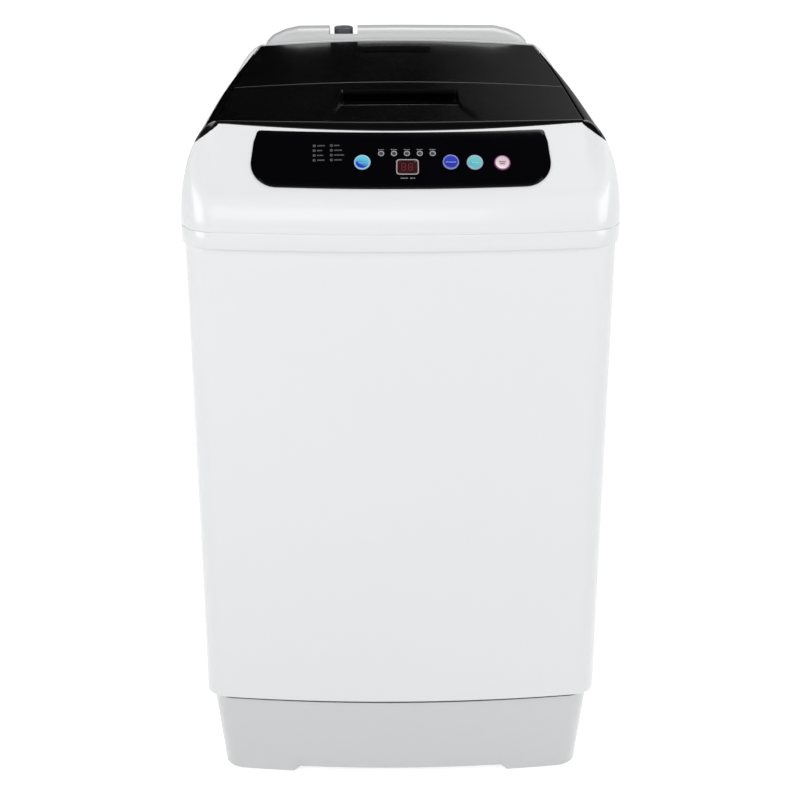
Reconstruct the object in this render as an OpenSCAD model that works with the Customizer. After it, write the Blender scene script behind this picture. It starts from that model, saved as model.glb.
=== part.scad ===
// Top load washing machine with a folding lid.
// Millimetres, +Z up, front towards -Y, origin on the floor at the centre of the footprint.

/* [Body] */
// Width over the rim of the top cover
cover_w = 520; // [500:1:560]
// Depth from the front of the rim to the back
body_d = 530; // [515:1:570]
// Height of the base skirt
base_h = 128; // [118:1:150]
// How far the rim of the top cover stands out beside the cabinet
rim_side = 4; // [2:0.5:7]
// How far the front bows out over its width
front_bow = 18; // [6:1:24]
// Radius of the cabinet's front corners
cabinet_r = 30; // [20:1:40]
// Thickness of the sheet steel
sheet_t = 1.2; // [0.8:0.1:2]
// How far the rim of the top cover stands in front of the cabinet
rim_overhang = 7; // [4:1:10]

/* [Base skirt] */
// How far the skirt tapers in at each side
base_side_taper = 18; // [11:1:26]
// How far the skirt tapers in at the front
base_front_taper = 19; // [8:1:24]
// Step from the cabinet in to the skirt
base_step = 4; // [2:0.5:6]
// Wall of the skirt
base_wall = 3; // [2.5:0.5:4]
// Width of the cut-out between the front feet
base_cut_w = 280; // [240:1:300]
// Height of that cut-out
base_cut_h = 8; // [5:1:14]

/* [Top cover] */
// Height of the vertical band of the rim
rim_band_h = 22; // [16:1:26]
// Width of the groove above the band
groove_w = 1.2; // [0.8:0.1:2]
// Radius of the bullnose under the control face
nose_r = 70; // [50:1:75]
// Height of the lid's front edge above the band
face_rise = 111; // [105:1:116]
// Distance from the front of the rim back to the lid's front edge
face_run = 81.5; // [78:0.5:86]
// Wall of the top cover
cover_wall = 3; // [2.5:0.5:4]
// Width of the black lip in front of the lid, along the slope
lip_w = 7; // [5:0.5:10]
// How far in front of the lid's rear edge the side trims end
trim_end = 36; // [28:1:60]
// Depth of the rebate under the trims
trim_t = 2.5; // [2:0.5:3]
// Width of the ledge that the lid rests on
ledge_w = 14; // [12:1:18]
// How far the edge of the round mouth lies outside the balance ring's opening
mouth_margin = 2; // [1:0.5:4]
// Height of the mouth's edge above the cabinet's bottom plane
mouth_drop = 20; // [12:1:24]
// Room between the mouth's edge and the rim of the tub
mouth_room = 32; // [28:1:40]

/* [Lid] */
// Width of the shoulder beside the lid at its front
shoulder_front = 41.5; // [38:0.5:48]
// Width of the shoulder beside the lid at the fold
shoulder_fold = 49.5; // [46:0.5:54]
// Width of the shoulder beside the lid at its rear
shoulder_rear = 70.5; // [66:0.5:74]
// Distance from the lid's rear edge to the back of the body
lid_back = 64; // [61:1:67]
// Depth of the lid's rear half, from the fold to its rear edge
lid_rear_d = 212; // [201:1:221]
// How much higher the fold lies than the front edge
fold_rise = 9; // [6:1:12]
// How much higher the rear edge lies than the front edge
rear_rise = 18.5; // [15:0.5:22]
// How far the lid crowns over its width
lid_crown = 7; // [3:1:8]
// Depth of a lid panel at its rim
lid_t = 10; // [9:0.5:12]
// Thickness of the smoked skin of a lid panel
lid_skin = 3.2; // [2.5:0.1:4]
// Gap round the lid
lid_gap = 1.5; // [1:0.1:2.5]
// Width of the gutter behind the lid, which its rear edge swings through
gutter_w = 8.5; // [8:0.5:10]
// Depth of that gutter
gutter_depth = 24; // [22:1:28]
// Width of the finger recess
recess_w = 146; // [120:1:160]
// Depth of the finger recess from front to back
recess_d = 62; // [50:1:66]
// Distance from the fold to the finger recess
recess_back = 31; // [28:1:36]
// How deep the finger recess is sunk
recess_sink = 17; // [14:1:18]
// Width of the rear slot
slot_w = 100; // [80:1:120]
// Depth of the rear slot from front to back
slot_d = 33; // [24:1:40]
// Distance from the lid's rear edge to the middle of the rear slot
slot_back = 48; // [40:1:56]
// Radius of the rear hinge pins
hinge_pin_r = 3; // [2.5:0.1:3.5]
// Radius of the fold pins
fold_pin_r = 2; // [1.8:0.1:2.2]

/* [Control panel] */
// Distance from the side of the lid's front edge to the overlay
overlay_side = 43.5; // [38:0.5:54]
// Height of the overlay along the slope
overlay_h = 73; // [70:1:75]
// Distance from the lid's edge to the overlay, along the slope
overlay_drop = 14; // [13:0.5:16]
// Thickness of the overlay
overlay_t = 1.6; // [1.2:0.1:2]
// Radius of the overlay's lower corners
overlay_low_r = 30; // [20:1:34]
// Radius of a push button
button_r = 9.5; // [8:0.5:10.5]
// Travel of a push button
button_travel = 1.5; // [1:0.1:2]
// Distance of the buttons below the lid's edge, along the slope
button_row = 53; // [50:1:56]
// Radius of an indicator lens
lens_r = 2.6; // [2:0.1:3]
// Spacing of the indicator lenses
lens_pitch = 15; // [12:0.5:16]
// Distance of the lenses below the lid's edge, along the slope
lens_row = 41.5; // [39:0.5:42]
// Width of the display window
display_w = 26; // [24:1:30]
// Height of the display window
display_h = 20; // [16:1:22]

/* [Rear console] */
// How much narrower than the lid's rear edge the console is at each side
console_side = 2.5; // [1:0.5:8]
// Height of the console above the lid's front edge
console_rise = 31; // [28:1:36]
// Wall of the console
console_wall = 2.5; // [2:0.5:3]
// Place of the water inlet across the width
inlet_x = -74; // [-90:1:-60]
// Radius over the inlet's thread
inlet_r = 13.2; // [12:0.1:14]
// Length of the inlet's thread
inlet_len = 14; // [12:1:18]
// Distance from the back to the inlet's axis
inlet_back = 20; // [18:1:24]
// Width of the notch round the inlet
notch_w = 39; // [34:1:44]

/* [Tub and basket] */
// Room between the tub and the nearest sheet of the cabinet
tub_room = 20.8; // [18:0.1:26]
// Wall of the tub
tub_wall = 3; // [2.5:0.5:4]
// Height of the tub's floor above the ground
tub_floor_z = 200; // [198:1:204]
// Height of the tub's rim above the basket's steel wall
tub_over = 28; // [26:1:34]
// Gap between the tub's wall and the basket
basket_gap = 17; // [15:1:22]
// Wall of the basket
basket_wall = 1.6; // [1.2:0.1:2]
// Height of the basket's steel wall
basket_h = 446; // [400:1:480]
// Radius of the drain holes in the basket
perforation_r = 2.5; // [2:0.25:4]
// Width of the balance ring
ring_w = 32; // [28:1:36]
// Height of the balance ring
ring_h = 46; // [40:1:50]
// Distance from the basket's outside to the rim of the pulsator
pulsator_gap = 49; // [42:1:64]
// How far the tub may sink on its springs
tub_sink = 15; // [10:1:18]

/* [Drive] */
// Radius of the clutch housing
clutch_r = 56; // [50:1:60]
// Radius of the spin shaft
spin_shaft_r = 12.5; // [11:0.5:13]
// Radius of the wash shaft inside it
wash_shaft_r = 7.5; // [6.5:0.5:8]
// Running clearance of a shaft in its bush
shaft_fit = 0.05; // [0.02:0.01:0.08]
// Radius of the large pulley
big_pulley_r = 65; // [58:1:68]
// Radius of the motor pulley
small_pulley_r = 25; // [22:1:28]
// Distance between the two pulley axes
belt_centre = 152; // [144:1:156]
// Radius of the motor
motor_r = 60; // [54:1:62]
// Height of the belt above the ground
belt_z = 62; // [56:1:66]

/* [Suspension and feet] */
// Distance from the cabinet's side to a suspension rod
rod_side = 56; // [53:1:60]
// Distance from the cabinet's back to a rear suspension rod
rod_back = 72; // [69:1:76]
// Radius of a suspension rod
rod_r = 4; // [3:0.5:4.5]
// Radius of a suspension spring's coil
spring_r = 14; // [12:0.5:15]
// Radius of the spring wire
spring_wire_r = 1.6; // [1.2:0.1:2]
// Turns of a suspension spring
spring_turns = 7; // [6:1:9]
// Radius of a foot
foot_r = 22; // [18:1:26]
// Distance from the side of the skirt's foot to the middle of a foot
foot_side = 42; // [38:1:50]
// Distance from the cabinet's front to the front feet
foot_front = 70; // [64:1:80]
// Distance from the cabinet's back to the rear feet
foot_back = 62; // [56:1:70]
// Height of a foot's rubber pad
foot_pad_h = 9; // [8:1:12]

/* [Hidden] */
$fn = 64;

eps = 0.01;             // overlap that makes unions and cuts clean
seat = 0.3;             // gap between pieces that only rest on each other
half_w = cover_w / 2;
front_y = -body_d / 2;
back_y = body_d / 2;
cabinet_hw = half_w - rim_side;
cabinet_w = 2 * cabinet_hw;
cabinet_front_y = front_y + rim_overhang;
cabinet_back_y = back_y - 3;
// Tub and basket: their radii fill the cabinet's tighter side, and their heights set the cabinet's
tub_r = min(cabinet_hw, -cabinet_front_y, cabinet_back_y) - sheet_t - tub_room;
basket_r = tub_r - tub_wall - basket_gap;
ring_in_r = basket_r - ring_w;
mouth_r = ring_in_r + mouth_margin;
pulsator_r = basket_r - pulsator_gap;
hub_z = tub_floor_z + 22;
basket_z0 = hub_z + 2;
basket_z1 = basket_z0 + basket_h;
tub_top_z = basket_z1 + tub_over;
tub_h = tub_top_z - tub_floor_z;
cabinet_h = tub_top_z + mouth_room + mouth_drop - base_h;
rim_z = base_h + cabinet_h + seat;
band_z = rim_z + rim_band_h;
edge_z = band_z + face_rise;
edge_y = front_y + face_run;
deck_z = edge_z - 33;
console_z = edge_z + console_rise;
mouth_z = rim_z - mouth_drop;
lid_front_hw = half_w - shoulder_front;
lid_fold_hw = half_w - shoulder_fold;
lid_rear_hw = half_w - shoulder_rear;
lid_rear_y = back_y - lid_back;
fold_y = lid_rear_y - lid_rear_d;
trim_end_y = lid_rear_y - trim_end;
overlay_w = 2 * (lid_front_hw - overlay_side);
console_w = 2 * (lid_rear_hw - console_side);
base_foot_w = cabinet_w - 2 * base_side_taper;
rod_x = cabinet_hw - rod_side;
rod_y = cabinet_back_y - rod_back;

// Counts of stations round one half of the rim, shared by every lofted outline
n_back = 5;
n_corner = 6;
n_side = 12;
n_side_rear = 4;
n_front = 9;

// ---- Outlines ----
function lerp(a, b, t) = a + (b - a) * t;
function smooth(t) = t * t * (3 - 2 * t);
function bow(x, hw, s) = s * pow(x / hw, 2);

// Right half of an outline from the middle of the back round to the middle of the front.
// hw: half width, yf and yb: front and back, r: front corner, rb: back corner, s: bow, split: y of a station.
function half_outline(hw, yf, yb, r, rb, s, split) =
    let (
        tilt = atan(2 * s * (hw - r) / (hw * hw)),
        x0 = hw - r * (1 - sin(tilt)),
        y0 = yf + bow(x0, hw, s),
        cx = x0 - r * sin(tilt),
        cy = y0 + r * cos(tilt),
        back = [for (i = [0 : n_back - 1]) [(hw - rb) * i / n_back, yb]],
        back_corner = [for (i = [0 : n_corner])
            let (a = 90 - 90 * i / n_corner) [hw - rb + rb * cos(a), yb - rb + rb * sin(a)]],
        side_back = [for (i = [1 : n_side_rear]) [hw, lerp(yb - rb, split, i / n_side_rear)]],
        side = [for (i = [1 : n_side - n_side_rear])
            [hw, lerp(split, cy, i / (n_side - n_side_rear))]],
        corner = [for (i = [1 : n_corner])
            let (a = -(90 - tilt) * i / n_corner) [cx + r * cos(a), cy + r * sin(a)]],
        front = [for (i = [1 : n_front]) let (x = x0 * (1 - i / n_front)) [x, yf + bow(x, hw, s)]]
    )
    concat(back, back_corner, side_back, side, corner, front);

n_half = n_back + n_corner + 1 + n_side + n_corner + n_front;
i_trim = n_back + n_corner + n_side_rear;
i_side_end = n_back + n_corner + n_side;
i_corner_end = i_side_end + n_corner;

// Mirrors a half into a full loop
function full(h) = concat(h, [for (i = [len(h) - 2 : -1 : 1])
    len(h[i]) == 3 ? [-h[i][0], h[i][1], h[i][2]] : [-h[i][0], h[i][1]]]);
function at_z(loop, z) = [for (p = loop) [p[0], p[1], z]];

function cabinet_loop(inset) = full(half_outline(cabinet_hw - inset, cabinet_front_y + inset,
    cabinet_back_y - inset, cabinet_r - inset, 8, front_bow, trim_end_y));

// Closed solid through a list of loops. ring: join the last loop to the first, otherwise cap both ends.
module loft(loops, ring = false) {
    n = len(loops[0]);
    m = len(loops);
    points = [for (l = loops) each l];
    walls = [for (j = [0 : (ring ? m - 1 : m - 2)], i = [0 : n - 1])
        let (a = j * n + i, b = j * n + (i + 1) % n, jn = (j + 1) % m,
            c = jn * n + (i + 1) % n, d = jn * n + i)
        each [[a, b, c], [a, c, d]]];
    caps = ring ? [] : [[for (i = [n - 1 : -1 : 0]) i], [for (i = [0 : n - 1]) (m - 1) * n + i]];
    polyhedron(points, concat(walls, caps), convexity = 10);
}

// ---- The lid's surface and the surface of the top cover ----
// Half width of the lid opening at y: a parabola through its three given widths
function lid_hw(y) = let (a = edge_y, b = fold_y, c = lid_rear_y)
    lid_front_hw * (y - b) * (y - c) / ((a - b) * (a - c))
    + lid_fold_hw * (y - a) * (y - c) / ((b - a) * (b - c))
    + lid_rear_hw * (y - a) * (y - b) / ((c - a) * (c - b));
// Height of the lid's top surface: two gentle slopes, crowned over the width
function lid_z(x, y) = let (
        t = min(1, max(0, (y - edge_y) / (fold_y - edge_y))),
        u = min(1, max(0, (y - fold_y) / (lid_rear_y - fold_y))),
        crown = lid_crown * (1 - pow(1 - t, 2)))
    edge_z + fold_rise * t + (rear_rise - fold_rise) * u - crown * pow(x / lid_hw(y), 2);

// Upper end of each section of the cover: the edge of the lid opening
lid_corner_r = 4;         // small enough for the lid's square corner to clear it
edge_half = let (
        xf = lid_front_hw - lid_corner_r,
        yf = edge_y + bow(lid_front_hw, half_w, front_bow),
        yr = lid_rear_y + gutter_w,
        xr = lid_hw(yr) - lid_corner_r,
        back = [for (i = [0 : n_back - 1]) [xr * i / n_back, yr]],
        back_corner = [for (i = [0 : n_corner]) let (a = 90 - 90 * i / n_corner)
            [xr + lid_corner_r * cos(a), yr - lid_corner_r + lid_corner_r * sin(a)]],
        side_back = [for (i = [1 : n_side_rear])
            let (y = lerp(yr - lid_corner_r, trim_end_y, i / n_side_rear)) [lid_hw(y), y]],
        side = [for (i = [1 : n_side - n_side_rear])
            let (y = lerp(trim_end_y, yf + lid_corner_r, i / (n_side - n_side_rear))) [lid_hw(y), y]],
        corner = [for (i = [1 : n_corner]) let (a = -90 * i / n_corner)
            [xf + lid_corner_r * cos(a), yf + lid_corner_r + lid_corner_r * sin(a)]],
        front = [for (i = [1 : n_front])
            let (x = xf * (1 - i / n_front)) [x, edge_y + bow(x, half_w, front_bow)]])
    concat(back, back_corner, side_back, side, corner, front);
function edge_point(i) = let (p = edge_half[i]) [p[0], p[1], lid_z(p[0], p[1])];

rim_half = half_outline(half_w, front_y, back_y, 44, 20, front_bow, trim_end_y);

// Section of the front: a 45 degree arc, then the straight control face
nose_part = 0.45;
function front_run(s) = s < nose_part ? nose_r * (1 - cos(45 * s / nose_part)) / face_run
    : lerp(nose_r * (1 - cos(45)) / face_run, 1, (s - nose_part) / (1 - nose_part));
function front_rise(s) = s < nose_part ? nose_r * sin(45 * s / nose_part) / face_rise
    : lerp(nose_r * sin(45) / face_rise, 1, (s - nose_part) / (1 - nose_part));
// Section of the sides and back: a quarter of a superellipse of power n
function side_run(s, n) = 1 - pow(max(0, cos(90 * s)), 2 / n);
function side_rise(s, n) = pow(max(0, sin(90 * s)), 2 / n);

// Weight of the front section, and power of the side section, at station i
function front_weight(i) = i <= i_side_end ? 0 : i >= i_corner_end ? 1
    : smooth((i - i_side_end) / n_corner);
function side_power(i) = i <= n_back ? 3 : i <= n_back + n_corner ? lerp(3, 1.9, (i - n_back) / n_corner)
    : i <= i_trim ? lerp(1.9, 1.6, (i - n_back - n_corner) / n_side_rear)
    : lerp(1.6, 2, min(1, (i - i_trim) / (i_side_end - i_trim)));
function cover_point(i, s) = let (
        b = rim_half[i], u = edge_point(i), w = front_weight(i), n = side_power(i),
        run = lerp(side_run(s, n), front_run(s), w),
        rise = lerp(side_rise(s, n), front_rise(s), w))
    [lerp(b[0], u[0], run), lerp(b[1], u[1], run), lerp(band_z, u[2], rise)];
// Point of the cover moved in by d, square to its section
function inner_point(i, s, d) = let (
        p = cover_point(i, s - 0.01), q = cover_point(i, s + 0.01), c = cover_point(i, s),
        b = rim_half[i], u = edge_point(i),
        h = [u[0] - b[0], u[1] - b[1]] / norm([u[0] - b[0], u[1] - b[1]]),
        th = (q[0] - p[0]) * h[0] + (q[1] - p[1]) * h[1],
        tz = q[2] - p[2], l = norm([th, tz]))
    [c[0] + h[0] * tz / l * d, c[1] + h[1] * tz / l * d, c[2] - th / l * d];

// Where the white cover ends and the black surround starts, as a share of the section
side_share = 0.69;
front_share = nose_part + (1 - nose_part) * (1 - lip_w / norm([face_run, face_rise])
    * norm([face_run, face_rise]) / (norm([face_run, face_rise]) - nose_r * 0.3));
function trim_share(i) = i < i_trim ? 1 : i <= i_side_end ? side_share + 0.03
    * (i_side_end - i) / (i_side_end - i_trim)
    : i >= i_corner_end ? front_share : lerp(side_share, front_share, (i - i_side_end) / n_corner);
function rebate_point(i) = i < i_trim ? edge_point(i) - [0, 0, trim_t] : inner_point(i, trim_share(i), trim_t);
seat_depth = lid_t + seat;
// Depth of the ledge under the lid: a gutter at the back, then the seat of the lid's sides
function ledge_depth(i) = lerp(gutter_depth, seat_depth,
    min(1, max(0, (i - n_back - n_corner - 1) / (n_side_rear - 1))));
function inset_edge(i, d, dz) = let (p = edge_point(i), l = norm([p[0], p[1]]), a = abs(p[1]) / l,
        side = i > n_back && i <= i_side_end,
        q = side ? [p[0] - d, p[1]] : i <= n_back ? [p[0] * (1 - d / 200), p[1] - d]
            : [p[0] * (1 - d * front_weight(i) / lid_front_hw) - d * (1 - front_weight(i)),
                p[1] + d * front_weight(i)])
    [q[0], q[1], p[2] - dz];
function mouth_point(i, r, z) = let (p = edge_point(i), l = norm([p[0], p[1]]))
    [p[0] / l * r, p[1] / l * r, z];

rim_foot = 8;           // width of the rim's underside, which rests on the cabinet
module cover_shell() {
    half_loop = [for (i = [0 : n_half - 1]) i];
    levels = 7;
    rim = rim_half;
    outer = concat(
        [full([for (i = half_loop) [rim[i][0], rim[i][1], rim_z]])],
        [full([for (i = half_loop) [rim[i][0], rim[i][1], band_z - groove_w]])],
        [full([for (i = half_loop) [rim[i][0] * (1 - 1 / half_w), rim[i][1] * (1 - 1 / half_w),
            band_z - groove_w / 2]])],
        [for (j = [0 : levels]) full([for (i = half_loop) cover_point(i, trim_share(i) * j / levels)])]);
    ledge = [
        full([for (i = half_loop) rebate_point(i)]),
        full([for (i = half_loop) edge_point(i) - [0, 0, ledge_depth(i)]]),
        full([for (i = half_loop) inset_edge(i, ledge_w, ledge_depth(i))])];
    throat = [
        full([for (i = half_loop) lerp(inset_edge(i, ledge_w, ledge_depth(i)),
            mouth_point(i, mouth_r, mouth_z), 0.5) + [0, 0, 12]]),
        full([for (i = half_loop) mouth_point(i, mouth_r, mouth_z)]),
        full([for (i = half_loop) mouth_point(i, mouth_r + cover_wall, mouth_z)]),
        full([for (i = half_loop) lerp(inset_edge(i, ledge_w - cover_wall, ledge_depth(i)),
            mouth_point(i, mouth_r + cover_wall, mouth_z), 0.5) + [0, 0, 8]])];
    under = concat(
        [full([for (i = half_loop) inset_edge(i, ledge_w - cover_wall, ledge_depth(i) + cover_wall)])],
        [for (s = [0.8, 0.55, 0.3, 0.05])
            full([for (i = half_loop) inner_point(i, trim_share(i) * s, cover_wall)])],
        [full([for (i = half_loop) [rim[i][0] * (1 - rim_foot / half_w),
            rim[i][1] * (1 - rim_foot / half_w), rim_z]])]);
    loft(concat(outer, ledge, throat, under), ring = true);
}

// ---- Frame of the control face: x across, y up the slope, z out of the face ----
module face_frame(drop) {
    translate([0, edge_y - drop * sin(45), edge_z - drop * cos(45)]) rotate([45, 0, 0]) children();
}
function face_bow(x) = -bow(x, half_w, front_bow) * sin(45);
// Slab that follows the bow of the face, between heights lo and hi
module face_slab(w, h, lo, hi) {
    steps = 18;
    xs = [for (i = [0 : steps]) lerp(-w / 2, w / 2, i / steps)];
    rotate([90, 0, 0]) translate([0, 0, -h / 2]) linear_extrude(h)
        polygon(concat([for (x = xs) [x, face_bow(x) + lo]],
            [for (i = [steps : -1 : 0]) [xs[i], face_bow(xs[i]) + hi]]));
}
module overlay_outline(grow = 0) {
    hw = overlay_w / 2 + grow;
    hh = overlay_h / 2 + grow;
    top_hw = hw - 6;
    r = overlay_low_r + grow;
    low = [for (i = [0 : 8]) let (a = -90 + 90 * i / 8) [hw - r + r * cos(a), -hh + r + r * sin(a)]];
    side = concat(low, [[hw - 1, 4], [top_hw + 1.5, hh - 6], [top_hw - 1, hh - 1.5], [top_hw - 5, hh]]);
    polygon(concat(side, [for (i = [len(side) - 1 : -1 : 0]) [-side[i][0], side[i][1]]]));
}
overlay_mid = overlay_drop + overlay_h / 2;
button_x = [-45, 58, 86, 118];
lens_x0 = -23;
display_x = 7.5;
display_row = 59.5;
button_gap = 0.4;
// Places something at x and at a distance below the lid's edge, on the bowed face
module on_face(x, drop) {
    face_frame(drop) translate([x, 0, face_bow(x)]) children();
}
pocket_t = 0.9;         // how deep the overlay is let into the cover

// ---- Cabinet, base and feet ----
module cabinet() {
    flange = 14;
    color("white") difference() {
        union() {
            translate([0, 0, base_h]) linear_extrude(cabinet_h) difference() {
                polygon(cabinet_loop(0));
                polygon(cabinet_loop(sheet_t));
                translate([-cabinet_hw + flange, cabinet_back_y - 20]) square([cabinet_w - 2 * flange, 40]);
            }
            // flanges folded in at the top and bottom
            for (z = [base_h, base_h + cabinet_h - sheet_t]) translate([0, 0, z]) linear_extrude(sheet_t)
                difference() {
                    polygon(cabinet_loop(sheet_t / 2));
                    polygon(cabinet_loop(flange));
                    translate([-cabinet_hw + flange, cabinet_back_y - 20]) square([cabinet_w - 2 * flange, 40]);
                }
        }
        for (x = [-1, 1], z = rear_screw_z)
            translate([x * (cabinet_hw - flange / 2), cabinet_back_y, z]) rotate([90, 0, 0])
                cylinder(r = 1.6, h = 12, center = true);
    }
}

rear_screw_z = [base_h + 20, base_h + cabinet_h * 0.35, base_h + cabinet_h * 0.68, base_h + cabinet_h - 18];
panel_hw = cabinet_hw - 6;
gland_x = 65 - panel_hw;
gland_z = base_h + 60;
panel_rib_x = panel_hw - 100;
panel_rib_w = 30;
panel_rib_end = 130;    // from a rib's end to the panel's edge
louvre_w = 150;
module rear_panel() {
    color("silver") difference() {
        union() {
            translate([-panel_hw, cabinet_back_y + eps, base_h + 2])
                cube([panel_hw * 2, sheet_t, cabinet_h - 4]);
            // pressed stiffening ribs
            for (x = [-1, 0, 1] * panel_rib_x) translate([x, cabinet_back_y, base_h + cabinet_h / 2 + 70])
                rotate([90, 0, 0]) translate([0, 0, -0.1]) linear_extrude(3)
                    square([panel_rib_w, cabinet_h - 2 * panel_rib_end], center = true);
            // rolled collar round the cord gland
            translate([gland_x, cabinet_back_y + eps, gland_z]) rotate([90, 0, 0])
                cylinder(r = 15, h = 4);
        }
        translate([gland_x, cabinet_back_y, gland_z]) rotate([90, 0, 0])
            cylinder(r = 7.5, h = 20, center = true);
        // louvres in front of the motor
        for (i = [0 : 6]) translate([0, cabinet_back_y, base_h + 45 + i * 16])
            cube([louvre_w, 12, 5], center = true);
        for (x = [-1, 1], z = rear_screw_z)
            translate([x * (cabinet_hw - 7), cabinet_back_y, z]) rotate([90, 0, 0])
                cylinder(r = 2, h = 20, center = true);
    }
}

module rear_panel_screws() {
    color("gray") for (x = [-1, 1], z = rear_screw_z)
        translate([x * (cabinet_hw - 7), cabinet_back_y + sheet_t + 0.02, z]) rotate([-90, 0, 0]) {
            cylinder(r = 3.6, h = 1.4);
            translate([0, 0, -8]) cylinder(r = 1.5, h = 8 + eps);
        }
}

base_top_hw = cabinet_hw - base_step - 4;
base_top_z = base_h - seat;
foot_bottom_z = 2;
function base_loop(inset, t) = full(half_outline(
    lerp(base_foot_w / 2, base_top_hw, t) - inset,
    cabinet_front_y + base_step + base_front_taper * (1 - t) + inset,
    cabinet_back_y - 3 - 10 * (1 - t) - inset, cabinet_r - inset, 12, front_bow, trim_end_y));
// Middle of the skirt's wall at a height: at the side, at the front and at the back
function base_share(z) = (z - foot_bottom_z) / (base_top_z - foot_bottom_z);
function base_side_at(z) = lerp(base_foot_w / 2, base_top_hw, base_share(z)) - base_wall / 2;
function base_front_at(x, z) = cabinet_front_y + base_step + base_front_taper * (1 - base_share(z))
    + bow(x, base_side_at(z), front_bow) + base_wall / 2;
function base_back_at(z) = cabinet_back_y - 3 - 10 * (1 - base_share(z)) - base_wall / 2;
foot_x = base_foot_w / 2 - foot_side;
foot_front_y = cabinet_front_y + foot_front;
foot_back_y = cabinet_back_y - foot_back;
foot_places = [[-foot_x, foot_front_y], [foot_x, foot_front_y], [-foot_x, foot_back_y], [foot_x, foot_back_y]];
socket_h = 34;
rib_z = foot_pad_h + seat;
module base_skirt() {
    color("white") difference() {
        union() {
            loft([at_z(base_loop(0, 0), foot_bottom_z), at_z(base_loop(0, 1), base_top_z),
                at_z(base_loop(base_wall * 5, 1), base_top_z),
                at_z(base_loop(base_wall * 5, 1), base_top_z - base_wall),
                at_z(base_loop(base_wall, 0.97), base_top_z - base_wall),
                at_z(base_loop(base_wall, 0), foot_bottom_z)], ring = true);
            // sockets for the feet, webbed to the walls
            for (p = foot_places) translate([p[0], p[1], rib_z]) cylinder(r = foot_r, h = socket_h);
            for (p = foot_places) {
                x0 = abs(p[0]);
                y0 = abs(p[1]);
                y1 = p[1] < 0 ? -base_front_at(foot_x, rib_z) : base_back_at(rib_z);
                y2 = p[1] < 0 ? -base_front_at(foot_x, rib_z + socket_h) : base_back_at(rib_z + socket_h);
                translate([0, p[1], rib_z]) rotate([90, 0, 0]) mirror([sign(p[0]) < 0 ? 1 : 0, 0, 0])
                    linear_extrude(8, center = true) polygon([[x0, 0], [base_side_at(rib_z), 0],
                        [base_side_at(rib_z + socket_h), socket_h], [x0, socket_h]]);
                translate([p[0], 0, rib_z]) mirror([0, sign(p[1]) < 0 ? 1 : 0, 0]) rotate([90, 0, 90])
                    linear_extrude(8, center = true)
                        polygon([[y0, 0], [y1, 0], [y2, socket_h], [y0, socket_h]]);
            }
        }
        // cut-out between the front feet
        translate([0, cabinet_front_y + 40, foot_bottom_z - 1]) rotate([90, 0, 0])
            linear_extrude(80, center = true) polygon([[-base_cut_w / 2 - 4, -1], [base_cut_w / 2 + 4, -1],
                [base_cut_w / 2 - 4, base_cut_h], [-base_cut_w / 2 + 4, base_cut_h]]);
        for (p = foot_places) translate([p[0], p[1], rib_z - 1]) cylinder(r = 5 + shaft_fit, h = socket_h + 2);
        // hole for the drain outlet
        translate([drain_x, back_y - 20, drain_z]) rotate([90, 0, 0])
            cylinder(r = drain_pipe_r + 8, h = 60, center = true);
    }
}

module foot(x, y) {
    translate([x, y, 0]) {
        cylinder(r1 = foot_r - 3, r2 = foot_r - 1, h = foot_pad_h);
        translate([0, 0, foot_pad_h - eps]) cylinder(r = 5, h = socket_h - 4);
    }
}
module fixed_feet() {
    color("dimgray") for (i = [1 : 3]) foot(foot_places[i][0], foot_places[i][1]);
}
module adjustable_foot() {
    color("dimgray") foot(foot_places[0][0], foot_places[0][1]);
}

bracket_t = 2.5;
bracket_z = base_h + cabinet_h - 16;
module corner_brackets() {
    reach = 84;
    x1 = cabinet_hw - sheet_t - seat;
    color("silver") for (sx = [-1, 1], back = [0, 1]) {
        y1 = back == 1 ? cabinet_back_y - sheet_t - seat
            : -(cabinet_front_y + bow(rod_x + 30, cabinet_hw, front_bow)) - 6;
        sy = back == 1 ? 1 : -1;
        difference() {
            translate([0, 0, bracket_z]) linear_extrude(bracket_t)
                polygon([[sx * x1, sy * (y1 - reach)], [sx * x1, sy * (y1 - 30)], [sx * (x1 - 26), sy * y1],
                    [sx * (x1 - reach), sy * y1], [sx * (x1 - reach), sy * (y1 - 12)],
                    [sx * (x1 - 12), sy * (y1 - reach)]]);
            translate([sx * rod_x, sy * rod_y, bracket_z - 5]) cylinder(r = rod_r + 1, h = 20);
        }
        // downturned flange along the side wall
        translate([sx * (x1 - bracket_t / 2), sy * (y1 - reach / 2 - 15), bracket_z - 9])
            cube([bracket_t, reach - 30, 20], center = true);
    }
}

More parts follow.
